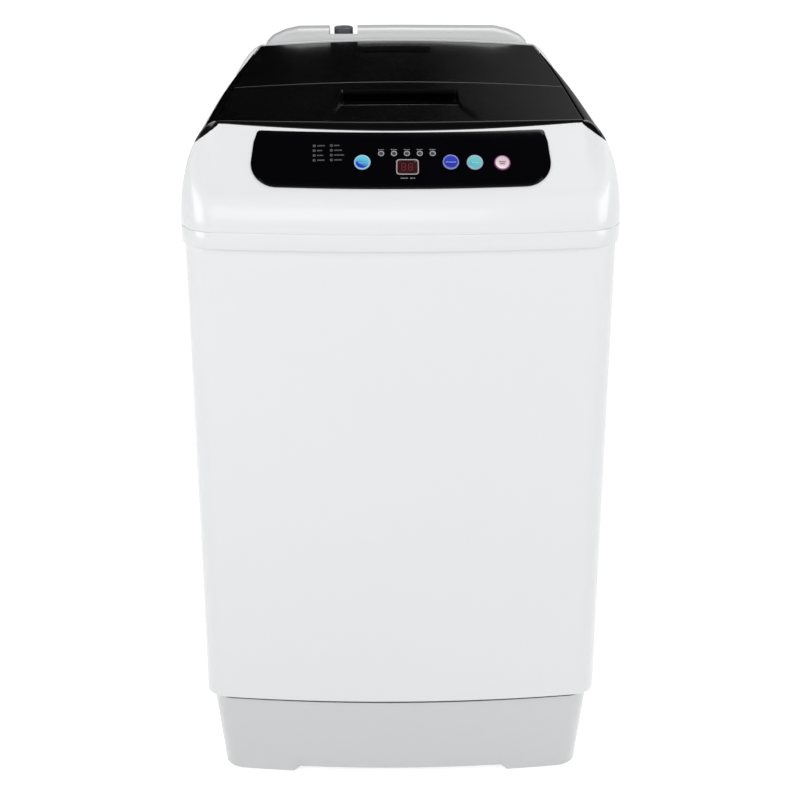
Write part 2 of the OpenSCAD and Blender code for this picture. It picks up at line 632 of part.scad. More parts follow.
// ---- Top cover and its trims ----
valve_y = back_y - inlet_back;
valve_flange_r = inlet_back - console_wall - 0.1;
module top_cover() {
    color("white") difference() {
        cover_shell();
        // pocket and openings for the controls
        intersection() {
            face_frame(overlay_mid) face_slab(overlay_w + 20, overlay_h + 20, -pocket_t, 20);
            face_frame(overlay_mid) translate([0, 0, -30]) linear_extrude(60) overlay_outline(0.25);
        }
        for (x = button_x) on_face(x, button_row) cylinder(r = button_r + 2.5, h = 40, center = true);
        on_face(0, lens_row) translate([lens_x0 + 2 * lens_pitch, 0, 0])
            cube([4 * lens_pitch + 9, 8, 40], center = true);
        on_face(display_x, display_row) cube([display_w - 4, display_h - 4, 40], center = true);
        // deck that the rear console stands on
        translate([-console_w / 2 - 0.4, lid_rear_y + gutter_w + 2.5, deck_z])
            cube([console_w + 0.8, 90, 80]);
        translate([inlet_x, valve_y, deck_z - 60]) cylinder(r = valve_flange_r - 0.9, h = 90);
        // holes for the rear hinge pins
        for (side = [-1, 1]) translate([side * (lid_rear_hw + 2), hinge_y, hinge_z]) rotate([0, 90, 0])
            cylinder(r = hinge_pin_r + shaft_fit, h = 26, center = true);
        // spout opening in the back of the throat
        translate([spout_x - spout_w / 2 + 2 - seat, lid_rear_y - 30, spout_z - 8 - seat])
            cube([spout_w - 4 + 2 * seat, 40, 14 + 2 * seat]);
    }
}

module lid_surround() {
    stations = [for (i = [i_trim : n_half - 1]) i];
    function section(i, m) = let (
            t0 = trim_share(i) + 0.004, pts = concat(
            [inner_point(i, t0, trim_t - 0.25)],
            [for (k = [0 : 3]) cover_point(i, lerp(t0, 0.999, k / 3))],
            [edge_point(i) - [0, 0, seat_depth - 0.3]],
            [lerp(edge_point(i) - [0, 0, seat_depth - 0.3], inner_point(i, t0, trim_t - 0.25), 0.3)]))
        [for (p = pts) [p[0] * m, p[1], p[2]]];
    loops = concat([for (i = stations) section(i, 1)],
        [for (k = [len(stations) - 2 : -1 : 0]) section(stations[k], -1)]);
    color([0.04, 0.04, 0.05]) loft([for (l = loops) [for (k = [len(l) - 1 : -1 : 0]) l[k]]]);
}

console_y0 = lid_rear_y + gutter_w + 3;
console_screw_x = console_w / 2 - 37;
console_screw_z = deck_z + 12;
screw_head_r = 4;
module console_form(grow) {
    hw = console_w / 2 - 0.4 + grow;
    y0 = console_y0 - grow;
    y1 = back_y + grow;
    hull() {
        for (s = [-1, 1]) {
            translate([s * (hw - 6), y0 + 8, deck_z + 0.3]) cylinder(r = 6, h = 8, $fn = 24);
            translate([s * (hw - 6), y1 - 6, deck_z + 0.3]) cylinder(r = 6, h = 8, $fn = 24);
            translate([s * (hw - 21), y0 + 20, console_z - 18 + grow]) sphere(r = 10, $fn = 24);
            translate([s * (hw - 21), y1 - 12, console_z - 20 + grow]) sphere(r = 12, $fn = 24);
            translate([s * (hw - 46), y0 + 26, console_z - 14 + grow]) sphere(r = 14, $fn = 24);
            translate([s * (hw - 46), y1 - 16, console_z - 16 + grow]) sphere(r = 15, $fn = 24);
        }
    }
}
module rear_console() {
    color("white") difference() {
        console_form(0);
        translate([0, 0, -1]) console_form(-console_wall);
        // notch round the water inlet
        translate([inlet_x, valve_y + 5, console_z]) cube([notch_w, 2 * inlet_back + 10, 60], center = true);
        for (side = [-1, 1]) translate([side * console_screw_x, back_y, console_screw_z]) rotate([90, 0, 0]) {
            cylinder(r = 2.2, h = 20, center = true);
            translate([0, 0, -eps]) cylinder(r1 = screw_head_r + 0.3, r2 = 2.2, h = 2.4);
        }
    }
}

// Countersunk screws that hold the console's back wall
module cover_screws() {
    color("gray") for (side = [-1, 1]) translate([side * console_screw_x, back_y - 0.1, console_screw_z])
        rotate([90, 0, 0]) {
            cylinder(r1 = screw_head_r, r2 = 1.8, h = 2.2);
            cylinder(r = 1.8, h = 9);
        }
}

// ---- Controls ----
module control_overlay() {
    color([0.04, 0.04, 0.06]) difference() {
        intersection() {
            face_frame(overlay_mid)
                face_slab(overlay_w + 20, overlay_h + 20, -pocket_t + 0.05, overlay_t - pocket_t);
            face_frame(overlay_mid) translate([0, 0, -30]) linear_extrude(60) overlay_outline(0);
        }
        for (x = button_x) on_face(x, button_row) cylinder(r = button_r + button_gap, h = 20, center = true);
        for (i = [0 : 4]) on_face(lens_x0 + i * lens_pitch, lens_row)
            cylinder(r = lens_r + 0.1, h = 20, center = true);
        on_face(display_x, display_row) cube([display_w - 6, display_h - 6, 20], center = true);
    }
}
module display_window() {
    color([0.25, 0.02, 0.03]) on_face(display_x, display_row) difference() {
        union() {
            translate([0, 0, -pocket_t + 0.3]) cube([display_w - 6.4, display_h - 6.4, 1.4], center = true);
            translate([4 - display_w / 2, 4 - display_h / 2, 0.3 - board_gap])
                cube([display_w - 8, display_h - 8, board_gap - pocket_t - 0.5]);
        }
    }
}
module indicator_lenses() {
    color("white") for (i = [0 : 4]) on_face(lens_x0 + i * lens_pitch, lens_row)
        translate([0, 0, 1 - board_gap]) cylinder(r = lens_r, h = board_gap);
}
board_gap = 15;         // from the face to the circuit board
switch_h = 4;
button_in = 5;          // how deep a button's cap reaches in
dish_r = 18;            // radius of the hollow in a button's top
module push_button(k) {
    // the stem ends its travel and a small gap above the switch, which stands on the flat board
    stem_z = switch_h + button_travel + seat - board_gap - face_bow(button_x[k]);
    on_face(button_x[k], button_row) difference() {
        union() {
            translate([0, 0, -button_in]) cylinder(r = button_r, h = button_in + 1.8);
            translate([0, 0, -button_in - 1.2]) cylinder(r = button_r + 1.5, h = 1.4);
            translate([0, 0, stem_z]) cylinder(r = 3, h = -button_in - stem_z + eps);
        }
        translate([0, 0, dish_r + 1.1]) sphere(r = dish_r, $fn = 48);
    }
}
module program_button() { color("deepskyblue") push_button(0); }
module water_level_button() { color("royalblue") push_button(1); }
module process_button() { color("turquoise") push_button(2); }
module start_button() { color("violet") push_button(3); }

board_w = overlay_w - 60;
board_h = 56;
board_row = 52;
board_t = 1.6;
module control_board() {
    color("darkgreen") on_face(0, board_row) {
        translate([0, 0, -board_gap - board_t / 2]) cube([board_w, board_h, board_t], center = true);
        translate([-95, 0, -board_gap - board_t - 7]) cube([42, 32, 14 + eps], center = true);
        translate([-20, 4, -board_gap - board_t - 5]) cube([46, 24, 10 + eps], center = true);
    }
    color("black") for (x = button_x) face_frame(button_row) translate([x, 0, -board_gap + switch_h / 2 - eps])
        cube([7, 7, switch_h], center = true);
}
module board_spacers() {
    // where the cover's underside is flat, clear of the ledge above and the bullnose below
    color("ivory") for (x = [-board_w / 2 + 8, board_w / 2 - 8], t = [board_row - 10, board_row + 12])
        face_frame(t) translate([x, 0, -board_gap + 0.1]) difference() {
            cylinder(r = 4, h = board_gap + face_bow(x) - cover_wall - 3 * seat);
            translate([0, 0, -1]) cylinder(r = 1.4, h = 8);
        }
}

// ---- Folding lid ----
hinge_y = lid_rear_y - 9;
hinge_z = edge_z + rear_rise - lid_crown - lid_t / 2 - 0.3;
fold_axis_z = edge_z + fold_rise - lid_crown - lid_t - 3.6 - seat;
fold_half_gap = 0.4;
// Outline of a lid panel, inset by d, as a loop of points on the lid's surface lowered by dz
function panel_loop(y0, y1, d, dz, flat_z = 0) = let (
        rows = 5, cols = 12,
        front = [for (i = [0 : cols]) let (u = 2 * i / cols - 1, hw = lid_hw(y0) - lid_gap - d, x = u * hw,
            y = y0 + d + (y0 < fold_y - 50 ? bow(x, half_w, front_bow) : 0)) [x, y]],
        right = [for (i = [1 : rows - 1])
            let (y = lerp(front[cols][1], y1 - d, i / rows)) [lid_hw(y) - lid_gap - d, y]],
        back = [for (i = [cols : -1 : 0]) let (u = 2 * i / cols - 1) [u * (lid_hw(y1) - lid_gap - d), y1 - d]],
        left = [for (i = [rows - 1 : -1 : 1])
            let (y = lerp(front[0][1], y1 - d, i / rows)) [-(lid_hw(y) - lid_gap - d), y]])
    [for (p = concat(front, right, back, left)) [p[0], p[1], lid_z(p[0], p[1]) - dz]];
function shrink(loop, k) = let (c = [0, (loop[0][1] + loop[20][1]) / 2])
    [for (p = loop) let (x = p[0] * k, y = lerp(c[1], p[1], k)) [x, y, 0]];
function on_lid(loop, dz) = [for (p = loop) [p[0], p[1], lid_z(p[0], p[1]) - dz]];
module panel(y0, y1) {
    rim = 9;
    outer = panel_loop(y0, y1, 0, 0);
    inner = panel_loop(y0, y1, rim, 0);
    loft(concat(
        [for (k = [0.04, 0.35, 0.7]) on_lid(shrink(outer, k), 0)],
        [outer, panel_loop(y0, y1, 0, lid_t), panel_loop(y0, y1, rim, lid_t), on_lid(inner, lid_skin)],
        [for (k = [0.7, 0.35, 0.04]) on_lid(shrink(inner, k), lid_skin)]));
}
recess_y1 = fold_y - recess_back;
recess_y0 = recess_y1 - recess_d;
recess_z = edge_z + fold_rise - 2;
fold_knuckle_x = [lid_fold_hw - 28.5, lid_fold_hw - 22.2];
// A hinge leaf under the rim of a panel, with its knuckle round the fold pin. dir: -1 front, 1 rear
module fold_leaf(x, dir) {
    difference() {
        union() {
            translate([x, fold_y, fold_axis_z]) rotate([0, 90, 0]) cylinder(r = 3.6, h = 6);
            translate([x, dir > 0 ? fold_y : fold_y - 16, fold_axis_z + 1]) cube([6, 16, 2.6]);
        }
        translate([x - 1, fold_y, fold_axis_z]) rotate([0, 90, 0]) cylinder(r = fold_pin_r + shaft_fit, h = 8);
    }
}
module fold_leaves_front() {
    color("dimgray") for (side = [0, 1]) mirror([side, 0, 0]) fold_leaf(fold_knuckle_x[0], -1);
}
module fold_leaves_rear() {
    color("dimgray") for (side = [0, 1]) mirror([side, 0, 0]) fold_leaf(fold_knuckle_x[1], 1);
}
module lid_front() {
    color([0.05, 0.05, 0.06]) difference() {
        panel(edge_y + lid_gap, fold_y - fold_half_gap);
        translate([0, recess_y0 + recess_d / 2, recess_z]) cube([recess_w, recess_d, 60], center = true);
    }
}
module lid_handle_cup() {
    wall = 2;
    color([0.03, 0.03, 0.03]) difference() {
        translate([-recess_w / 2 + 0.1, recess_y0 + 0.1, recess_z - recess_sink - wall])
            cube([recess_w - 0.2, recess_d - 0.2, recess_sink - 1]);
        translate([-recess_w / 2 + wall, recess_y0 + wall, recess_z - recess_sink])
            cube([recess_w - 2 * wall, recess_d - 2 * wall, 60]);
    }
}
slot_x = -5;
slot_y = lid_rear_y - slot_back;
module lid_rear() {
    color([0.05, 0.05, 0.06]) difference() {
        panel(fold_y + fold_half_gap, lid_rear_y);
        translate([slot_x, slot_y, edge_z + rear_rise]) cube([slot_w, slot_d, 40], center = true);
        for (side = [0, 1]) mirror([side, 0, 0]) translate([lid_rear_hw - 11, hinge_y, hinge_z])
            rotate([0, 90, 0]) cylinder(r = hinge_pin_r + 0.02, h = 40);
    }
}
module lid_slot_insert() {
    wall = 2;
    z1 = lid_z(slot_w / 2, slot_y - slot_d / 2) - 1;
    color([0.02, 0.02, 0.02]) difference() {
        translate([slot_x - slot_w / 2 + 0.1, slot_y - slot_d / 2 + 0.1, z1 - 9])
            cube([slot_w - 0.2, slot_d - 0.2, 9]);
        translate([slot_x - slot_w / 2 + wall, slot_y - slot_d / 2 + wall, z1 - 7])
            cube([slot_w - 2 * wall, slot_d - 2 * wall, 20]);
    }
}
module lid_hinge_pins() {
    color("silver") for (side = [0, 1]) mirror([side, 0, 0])
        translate([lid_rear_hw - 10.5, hinge_y, hinge_z]) rotate([0, 90, 0]) cylinder(r = hinge_pin_r, h = 20);
}
module lid_fold_pins() {
    color("silver") for (side = [0, 1]) mirror([side, 0, 0])
        translate([fold_knuckle_x[0] - 0.5, fold_y, fold_axis_z]) rotate([0, 90, 0])
            cylinder(r = fold_pin_r, h = 13.2);
}

// ---- Water inlet and level sensor, on the deck under the console ----
spout_x = -40;
spout_w = 120;
spout_z = edge_z - 70;
box_y0 = lid_rear_y + 2;
inlet_top_z = console_z - 2;
module inlet_valve() {
    color("dimgray") translate([inlet_x, valve_y, 0]) {
        difference() {
            union() {
                translate([0, 0, inlet_top_z - inlet_len]) cylinder(r = inlet_r, h = inlet_len);
                translate([0, 0, deck_z - 2])
                    cylinder(r = 10.5, h = inlet_top_z - inlet_len - deck_z + 2 + eps);
                translate([0, 0, deck_z + seat]) cylinder(r = valve_flange_r, h = 5);
                translate([0, -4, deck_z - 22]) cube([30, 22, 44], center = true);
                // solenoid coil
                translate([-15, -4, deck_z - 30]) rotate([0, -90, 0]) cylinder(r = 11, h = 26);
                // outlet into the spout box
                translate([0, -12, deck_z - 36]) rotate([90, 0, 0])
                    cylinder(r = 7, h = valve_y - 12 - box_y0 - 26);
            }
            translate([0, 0, inlet_top_z - inlet_len - 6]) cylinder(r = 9, h = inlet_len + 10);
        }
        translate([0, 0, inlet_top_z - inlet_len - 6]) cylinder(r = 4, h = inlet_len + 4);
    }
}
module inlet_box() {
    wall = 2;
    h = 30;
    z0 = spout_z - 9;
    color("ivory") difference() {
        union() {
            translate([spout_x - spout_w / 2, box_y0, z0]) cube([spout_w, 26, h]);
            translate([spout_x - spout_w / 2 + 2, lid_rear_y - 26, z0 + 1]) cube([spout_w - 4, 30, 14]);
        }
        translate([spout_x - spout_w / 2 + wall, box_y0 + wall, z0 + wall])
            cube([spout_w - 2 * wall, 26 - 2 * wall, h - 2 * wall]);
        // row of spray slots
        for (i = [0 : 9])
            translate([spout_x - spout_w / 2 + 9 + i * (spout_w - 18) / 9, lid_rear_y - 12, z0 + 8])
                cube([6, 60, 8], center = true);
    }
}
module level_sensor() {
    color("ivory") translate([95, valve_y - 4, deck_z + 0.3]) {
        cylinder(r = 19, h = 9);
        cylinder(r = 12, h = 16);
        translate([0, 0, 3]) cylinder(r = 4, h = 18);
    }
}

// ---- Tub ----
lug_z = tub_floor_z + 50;
rod_places = [[-rod_x, -rod_y], [rod_x, -rod_y], [-rod_x, rod_y], [rod_x, rod_y]];
tub_floor_t = 4;
hub_r = 34;
drain_x = 96;
drain_y = 130;
module outer_tub() {
    color("whitesmoke") difference() {
        union() {
            rotate_extrude($fn = 96) polygon([[hub_r, tub_floor_z], [tub_r - 12, tub_floor_z],
                [tub_r - 3, tub_floor_z + 4], [tub_r, tub_floor_z + 13], [tub_r, tub_top_z - 14],
                [tub_r + 4, tub_top_z - 14], [tub_r + 4, tub_top_z], [tub_r - tub_wall, tub_top_z],
                [tub_r - tub_wall, tub_floor_z + 14], [tub_r - 6, tub_floor_z + 8],
                [tub_r - 13, tub_floor_z + tub_floor_t], [hub_r, tub_floor_z + tub_floor_t]]);
            // ribs under the floor
            for (i = [0 : 11]) rotate([0, 0, i * 30]) translate([hub_r + 26, -1.5, tub_floor_z - 8])
                cube([tub_r - hub_r - 60, 3, 8 + eps]);
            // stiffening hoops
            for (i = [0 : 3]) translate([0, 0, lerp(tub_floor_z + 130, tub_top_z - 68, i / 3)])
                rotate_extrude($fn = 96) translate([tub_r - 1, 0]) square([4, 4]);
            // lugs that hang on the suspension
            for (p = rod_places) translate([0, 0, lug_z]) rotate([0, 0, atan2(p[1], p[0])])
                linear_extrude(12) union() {
                    translate([norm(p), 0]) circle(r = 19);
                    polygon([[tub_r - 2, -26], [norm(p) + 2, -18], [norm(p) + 2, 18], [tub_r - 2, 26]]);
                }
        }
        for (p = rod_places) translate([p[0], p[1], lug_z - 5]) cylinder(r = rod_r + 1.5, h = 30);
        translate([drain_x, drain_y, tub_floor_z - 10]) cylinder(r = 14, h = 30);
    }
}
module tub_cover() {
    z = tub_top_z + 0.2;
    color("whitesmoke") rotate_extrude($fn = 96)
        polygon([[ring_in_r + 12, z], [tub_r + 3.5, z], [tub_r + 3.5, z + 3], [ring_in_r + 20, z + 3],
            [ring_in_r + 14, z + 9], [ring_in_r + 11, z + 9], [ring_in_r + 11, z + 6]]);
}
plate_z = tub_floor_z - 14;
plate_t = 3;
plate_arm_w = 90;
module support_plate() {
    color("silver") difference() {
        union() {
            translate([0, 0, plate_z]) linear_extrude(plate_t) difference() {
                union() {
                    circle(r = 128);
                    square([2 * tub_r - 48, plate_arm_w], center = true);
                    rotate(90) square([2 * tub_r - 68, plate_arm_w], center = true);
                    translate(motor_place) circle(r = motor_r + 14);
                }
                circle(r = 40);
                for (a = [45, 225, 315]) rotate(a) translate([90, 0]) circle(r = 13);
            }
            // upturned edges that meet the tub's ribs
            difference() {
                translate([0, 0, plate_z + plate_t / 2]) cylinder(r = 126.5, h = 2.7 + plate_t / 2);
                translate([0, 0, plate_z]) cylinder(r = 123.5, h = 20);
            }
        }
        translate([drain_x, drain_y, plate_z - 5]) cylinder(r = 17, h = 30);
        for (i = [0 : 3]) rotate(i * 90 + 45) translate([clutch_r, 0, plate_z - 1]) cylinder(r = 3.5, h = 10);
    }
}
module damper_cups() {
    cup_h = 32;
    color("dimgray") for (p = rod_places) translate([p[0], p[1], lug_z - cup_h]) difference() {
        cylinder(r = spring_r + 7, h = cup_h - 0.2);
        translate([0, 0, -1]) cylinder(r = spring_r + 4.5, h = cup_h - 2.3);
        translate([0, 0, -1]) cylinder(r = rod_r + 1.5, h = cup_h + 5);
    }
}
spring_z0 = 150;
spring_z1 = lug_z - 3.6;
rod_top_z = bracket_z + bracket_t;
module suspension_rods() {
    color("silver") for (p = rod_places) translate([p[0], p[1], 0]) {
        translate([0, 0, spring_z0 - 12]) cylinder(r = rod_r, h = rod_top_z - spring_z0 + 14);
        translate([0, 0, spring_z0 - 5]) cylinder(r = spring_r + 2.5, h = 4.6);
        translate([0, 0, rod_top_z + 0.2]) cylinder(r1 = rod_r + 5, r2 = rod_r + 3, h = 6);
    }
}
// Wire wound into a helix: rings of points carried round the axis, with flat ends
module coil(r, wire, z0, z1, turns) {
    per_turn = 8;
    sides = 5;
    n = turns * per_turn;
    loops = [for (i = [0 : n]) let (a = 360 * i / per_turn, z = lerp(z0 + wire, z1 - wire, i / n))
        [for (k = [0 : sides - 1]) let (b = 360 * k / sides)
            [(r + wire * cos(b)) * cos(a), (r + wire * cos(b)) * sin(a), z + wire * sin(b)]]];
    loft(loops);
}
module suspension_springs() {
    color("gray") for (p = rod_places) translate([p[0], p[1], 0])
        coil(spring_r, spring_wire_r, spring_z0, spring_z1, spring_turns);
}

// ---- Clutch, shafts and pulleys ----
clutch_z0 = 92;
bush_z0 = clutch_z0 + 8;
module clutch_housing() {
    color("gray") difference() {
        union() {
            translate([0, 0, clutch_z0]) rotate_extrude() polygon([[0, 0], [22, 0], [26, 12],
                [clutch_r - 8, 16], [clutch_r, 24], [clutch_r, 84],
                [clutch_r - 6, plate_z - clutch_z0 - 6], [0, plate_z - clutch_z0 - 6]]);
            translate([0, 0, plate_z - 6.3]) cylinder(r = clutch_r + 8, h = 6);
            translate([0, 0, plate_z - 7]) cylinder(r = 24, h = tub_floor_z - plate_z + 14);
        }
        translate([0, 0, plate_z - 50]) cylinder(r = spin_shaft_r + shaft_fit, h = 90);
        translate([0, 0, clutch_z0 - 1]) cylinder(r = 9 + shaft_fit, h = 40);
    }
}
module shaft_seal() {
    z = tub_floor_z + 0.2;
    color("black") difference() {
        union() {
            translate([0, 0, z]) cylinder(r = hub_r - 0.3, h = 7);
            translate([0, 0, z + 6]) cylinder(r = hub_r - 8, h = 5);
        }
        translate([0, 0, z - 1]) cylinder(r = 24.3, h = 12);
        translate([0, 0, z - 1]) cylinder(r = spin_shaft_r + 0.4, h = 20);
    }
}
spin_z0 = plate_z - 44;
module spin_shaft() {
    color("silver") difference() {
        union() {
            translate([0, 0, spin_z0]) cylinder(r = spin_shaft_r, h = hub_z - spin_z0 + 6);
            translate([0, 0, hub_z - 6]) cylinder(r = 42, h = 5.7);
        }
        translate([0, 0, spin_z0 - 1]) cylinder(r = wash_shaft_r + shaft_fit, h = 200);
    }
}
wash_z1 = hub_z + 34;
module wash_shaft() {
    color("silver") difference() {
        translate([0, 0, spin_z0 - 6]) cylinder(r = wash_shaft_r, h = wash_z1 - spin_z0 + 6);
        translate([0, 0, wash_z1 - 24]) cylinder(r = 3.02, h = 30);
    }
}
pulley_w = 14;
module v_pulley(r, z) {
    translate([0, 0, z - pulley_w / 2]) rotate_extrude()
        polygon([[0, 0], [r, 0], [r, 1.5], [r - 6, 4.5], [r - 6, pulley_w - 4.5], [r, pulley_w - 1.5],
            [r, pulley_w], [0, pulley_w]]);
}
module clutch_pulley() {
    color("gray") {
        difference() {
            v_pulley(big_pulley_r, belt_z);
            for (a = [0 : 60 : 300]) rotate(a) translate([34, 0, belt_z])
                cylinder(r = 11, h = 40, center = true);
            for (side = [-1, 1]) translate([0, 0, belt_z + side * 12]) difference() {
                cylinder(r = big_pulley_r - 12, h = 16, center = true);
                cylinder(r = 18, h = 30, center = true);
            }
        }
        translate([0, 0, belt_z]) cylinder(r = 9, h = bush_z0 + 26 - belt_z);
        translate([0, 0, belt_z]) cylinder(r = 15, h = clutch_z0 - belt_z - 2);
        translate([0, 0, belt_z - pulley_w / 2 - 6]) cylinder(r = 8, h = 12, $fn = 6);
    }
}
motor_angle = 148;
motor_place = [belt_centre * cos(motor_angle), belt_centre * sin(motor_angle)];
motor_z0 = 84;
motor_h = 84;
module motor() {
    color("dimgray") translate([motor_place[0], motor_place[1], motor_z0]) difference() {
        union() {
            rotate_extrude() polygon([[0, 0], [20, 0], [24, 8], [motor_r - 12, 10], [motor_r, 20],
                [motor_r, motor_h - 18], [motor_r - 12, motor_h - 8], [0, motor_h - 8]]);
            translate([0, 0, motor_h - 20]) linear_extrude(5) difference() {
                circle(r = motor_r + 8);
                circle(r = motor_r - 6);
            }
            for (a = [0 : 20 : 340]) rotate([0, 0, a]) translate([motor_r - 2, -1.5, 24]) cube([5, 3, 36]);
        }
        translate([0, 0, -1]) cylinder(r = 6 + shaft_fit, h = 40);
    }
}
module motor_mounts() {
    z0 = motor_z0 + motor_h - 14.8;
    color("black") for (a = [60, 150, 240, 330]) translate([motor_place[0], motor_place[1], 0])
        rotate([0, 0, a + motor_angle - 150]) translate([motor_r + 3.5, 0, z0]) {
            cylinder(r = 6.5, h = plate_z - z0 - 0.2);
            translate([0, 0, 3]) cylinder(r = 8.5, h = 6);
        }
}
module motor_pulley() {
    color("gray") translate([motor_place[0], motor_place[1], 0]) difference() {
        union() {
            v_pulley(small_pulley_r, belt_z);
            translate([0, 0, belt_z]) cylinder(r = 6, h = motor_z0 + 34 - belt_z);
        }
        translate([0, 0, belt_z - pulley_w]) cylinder(r = 3, h = 12);
    }
}
module belt_band(grow) {
    rotate(motor_angle) hull() {
        circle(r = big_pulley_r - 6 + grow);
        translate([belt_centre, 0]) circle(r = small_pulley_r - 6 + grow);
    }
}
module drive_belt() {
    color("black") translate([0, 0, belt_z - 2]) linear_extrude(4) difference() {
        belt_band(5);
        belt_band(0.4);
    }
}
module run_capacitor() {
    r = 17;
    color("lightgray") translate([0, -152, plate_z - seat - 3]) {
        translate([-34, -14, 0]) cube([68, 28, 3]);
        translate([-30, 0, -r + 1]) rotate([0, 90, 0]) cylinder(r = r, h = 60);
    }
}

// ---- Drain ----
drain_z = 84;
drain_pipe_r = 14;
bellows_z1 = tub_floor_z - 62;
bellows_z0 = drain_z + 16;
module drain_valve() {
    color("ivory") difference() {
        union() {
            translate([drain_x, drain_y, bellows_z1 + seat])
                cylinder(r = 13.5, h = tub_floor_z - bellows_z1 + 6);
            translate([drain_x, drain_y, tub_floor_z - 48]) cylinder(r = 16.5, h = 30);
            translate([drain_x, drain_y, tub_floor_z + tub_floor_t + 0.3]) cylinder(r = 19, h = 2);
            // slide and motor of the valve
            translate([drain_x - 14, drain_y, tub_floor_z - 34]) rotate([0, -90, 0]) cylinder(r = 9, h = 30);
            translate([drain_x - 62, drain_y, tub_floor_z - 34]) cube([40, 30, 30], center = true);
        }
        translate([drain_x, drain_y, bellows_z1 - 10]) cylinder(r = 10.5, h = 120);
    }
}
module drain_bellows() {
    folds = 4;
    pitch = (bellows_z1 - bellows_z0) / folds;
    wall = [for (i = [0 : folds - 1])
        each [[15, bellows_z0 + i * pitch], [19, bellows_z0 + (i + 0.5) * pitch]]];
    color("gray") translate([drain_x, drain_y, 0]) rotate_extrude($fn = 48)
        polygon(concat(wall, [[15, bellows_z1]], [[12.5, bellows_z1]],
            [for (i = [folds - 1 : -1 : 0])
                each [[16.5, bellows_z0 + (i + 0.5) * pitch], [12.5, bellows_z0 + i * pitch]]]));
}
module drain_outlet() {
    r = drain_pipe_r;
    y1 = back_y - 1;
    color("dimgray") difference() {
        union() {
            translate([drain_x, drain_y, drain_z]) rotate([-90, 0, 0]) cylinder(r = r, h = y1 - drain_y);
            translate([drain_x, drain_y, drain_z]) sphere(r = r + 2);
            translate([drain_x, drain_y, drain_z]) cylinder(r = r + 2, h = bellows_z0 - drain_z - 0.3);
            translate([drain_x, back_y - 22, drain_z]) rotate([90, 0, 0]) cylinder(r = r + 4, h = 12);
        }
        translate([drain_x, drain_y, drain_z]) rotate([-90, 0, 0]) cylinder(r = r - 2.5, h = 300);
        translate([drain_x, drain_y, drain_z]) cylinder(r = r - 2.5, h = 60);
    }
}

// ---- Basket, balance ring and pulsator ----
module basket() {
    rows = 7;
    columns = 12;
    color("lightgray") difference() {
        rotate_extrude($fn = 96) polygon([[basket_r - basket_wall, basket_z0 + 6], [basket_r, basket_z0 + 6],
            [basket_r, basket_z0 + 90], [basket_r - 3, basket_z0 + 96], [basket_r - 3, basket_z0 + 104],
            [basket_r, basket_z0 + 110], [basket_r, basket_z1], [basket_r - basket_wall, basket_z1],
            [basket_r - basket_wall, basket_z0 + 110], [basket_r - 3 - basket_wall, basket_z0 + 104],
            [basket_r - 3 - basket_wall, basket_z0 + 96], [basket_r - basket_wall, basket_z0 + 90]]);
        for (j = [0 : rows - 1], i = [0 : columns / 2 - 1])
            translate([0, 0, basket_z0 + 130 + j * (basket_h - 170) / (rows - 1)])
                rotate([90, 0, (i + (j % 2) / 2) * 360 / columns])
                    cylinder(r = perforation_r, h = 2 * basket_r + 20, center = true, $fn = 6);
    }
}
base_hub_r = 60;        // where the thick hub of the basket's base ends
module basket_base() {
    z = basket_z0;
    r = basket_r - basket_wall - 0.05;
    color("lightgray") difference() {
        union() {
            rotate_extrude($fn = 96) polygon([[wash_shaft_r + 8, z - 1.7], [basket_r - 6, z - 1.7],
                [basket_r - 1, z + 3], [basket_r - 1, z + 5.9], [r, z + 5.9], [r, z + 40], [r - 2.5, z + 40],
                [pulsator_r + 12, z + 12], [pulsator_r + 6, z + 6], [base_hub_r, z + 4],
                [wash_shaft_r + 8, z + 4]]);
            for (i = [0 : 7]) rotate([0, 0, i * 45]) translate([pulsator_r + 6, -2, z + 5])
                cube([r - pulsator_r - 7, 4, 22]);
        }
        for (a = [30 : 60 : 330]) rotate(a) translate([32, 0, z - 5]) cylinder(r = 3, h = 20);
    }
}
module balance_ring() {
    z = basket_z1 - 22;
    color("white") rotate_extrude($fn = 96) polygon([[ring_in_r, z + 6], [ring_in_r + 5, z],
        [basket_r - basket_wall - 0.1, z], [basket_r - basket_wall - 0.1, basket_z1 + 0.2],
        [basket_r + 2, basket_z1 + 0.2], [basket_r + 2, z + ring_h - 5], [basket_r - 4, z + ring_h],
        [ring_in_r + 6, z + ring_h], [ring_in_r, z + ring_h - 6]]);
}
filter_z = basket_z0 + 160;
filter_w = 92;
filter_h = 130;
filter_t = 12;
module lint_filter() {
    r = basket_r - basket_wall;
    color("lightblue") translate([0, 0, filter_z]) difference() {
        intersection() {
            difference() {
                cylinder(r = r - 0.2, h = filter_h);
                translate([0, 0, -1]) cylinder(r = r - filter_t, h = filter_h + 10);
            }
            translate([0, r - filter_t, filter_h / 2]) cube([filter_w, 40, filter_h - 6], center = true);
        }
        for (i = [-2 : 2], j = [0 : 4]) translate([i * 16, r - 8, 25 + j * 20])
            cube([11, 14, 13], center = true);
    }
}
vanes = 6;
boss_r = 42;            // foot of the pulsator's boss
vane_in = 44;           // distance from the axis to the inner end of a vane
vane_out = pulsator_r - 26;
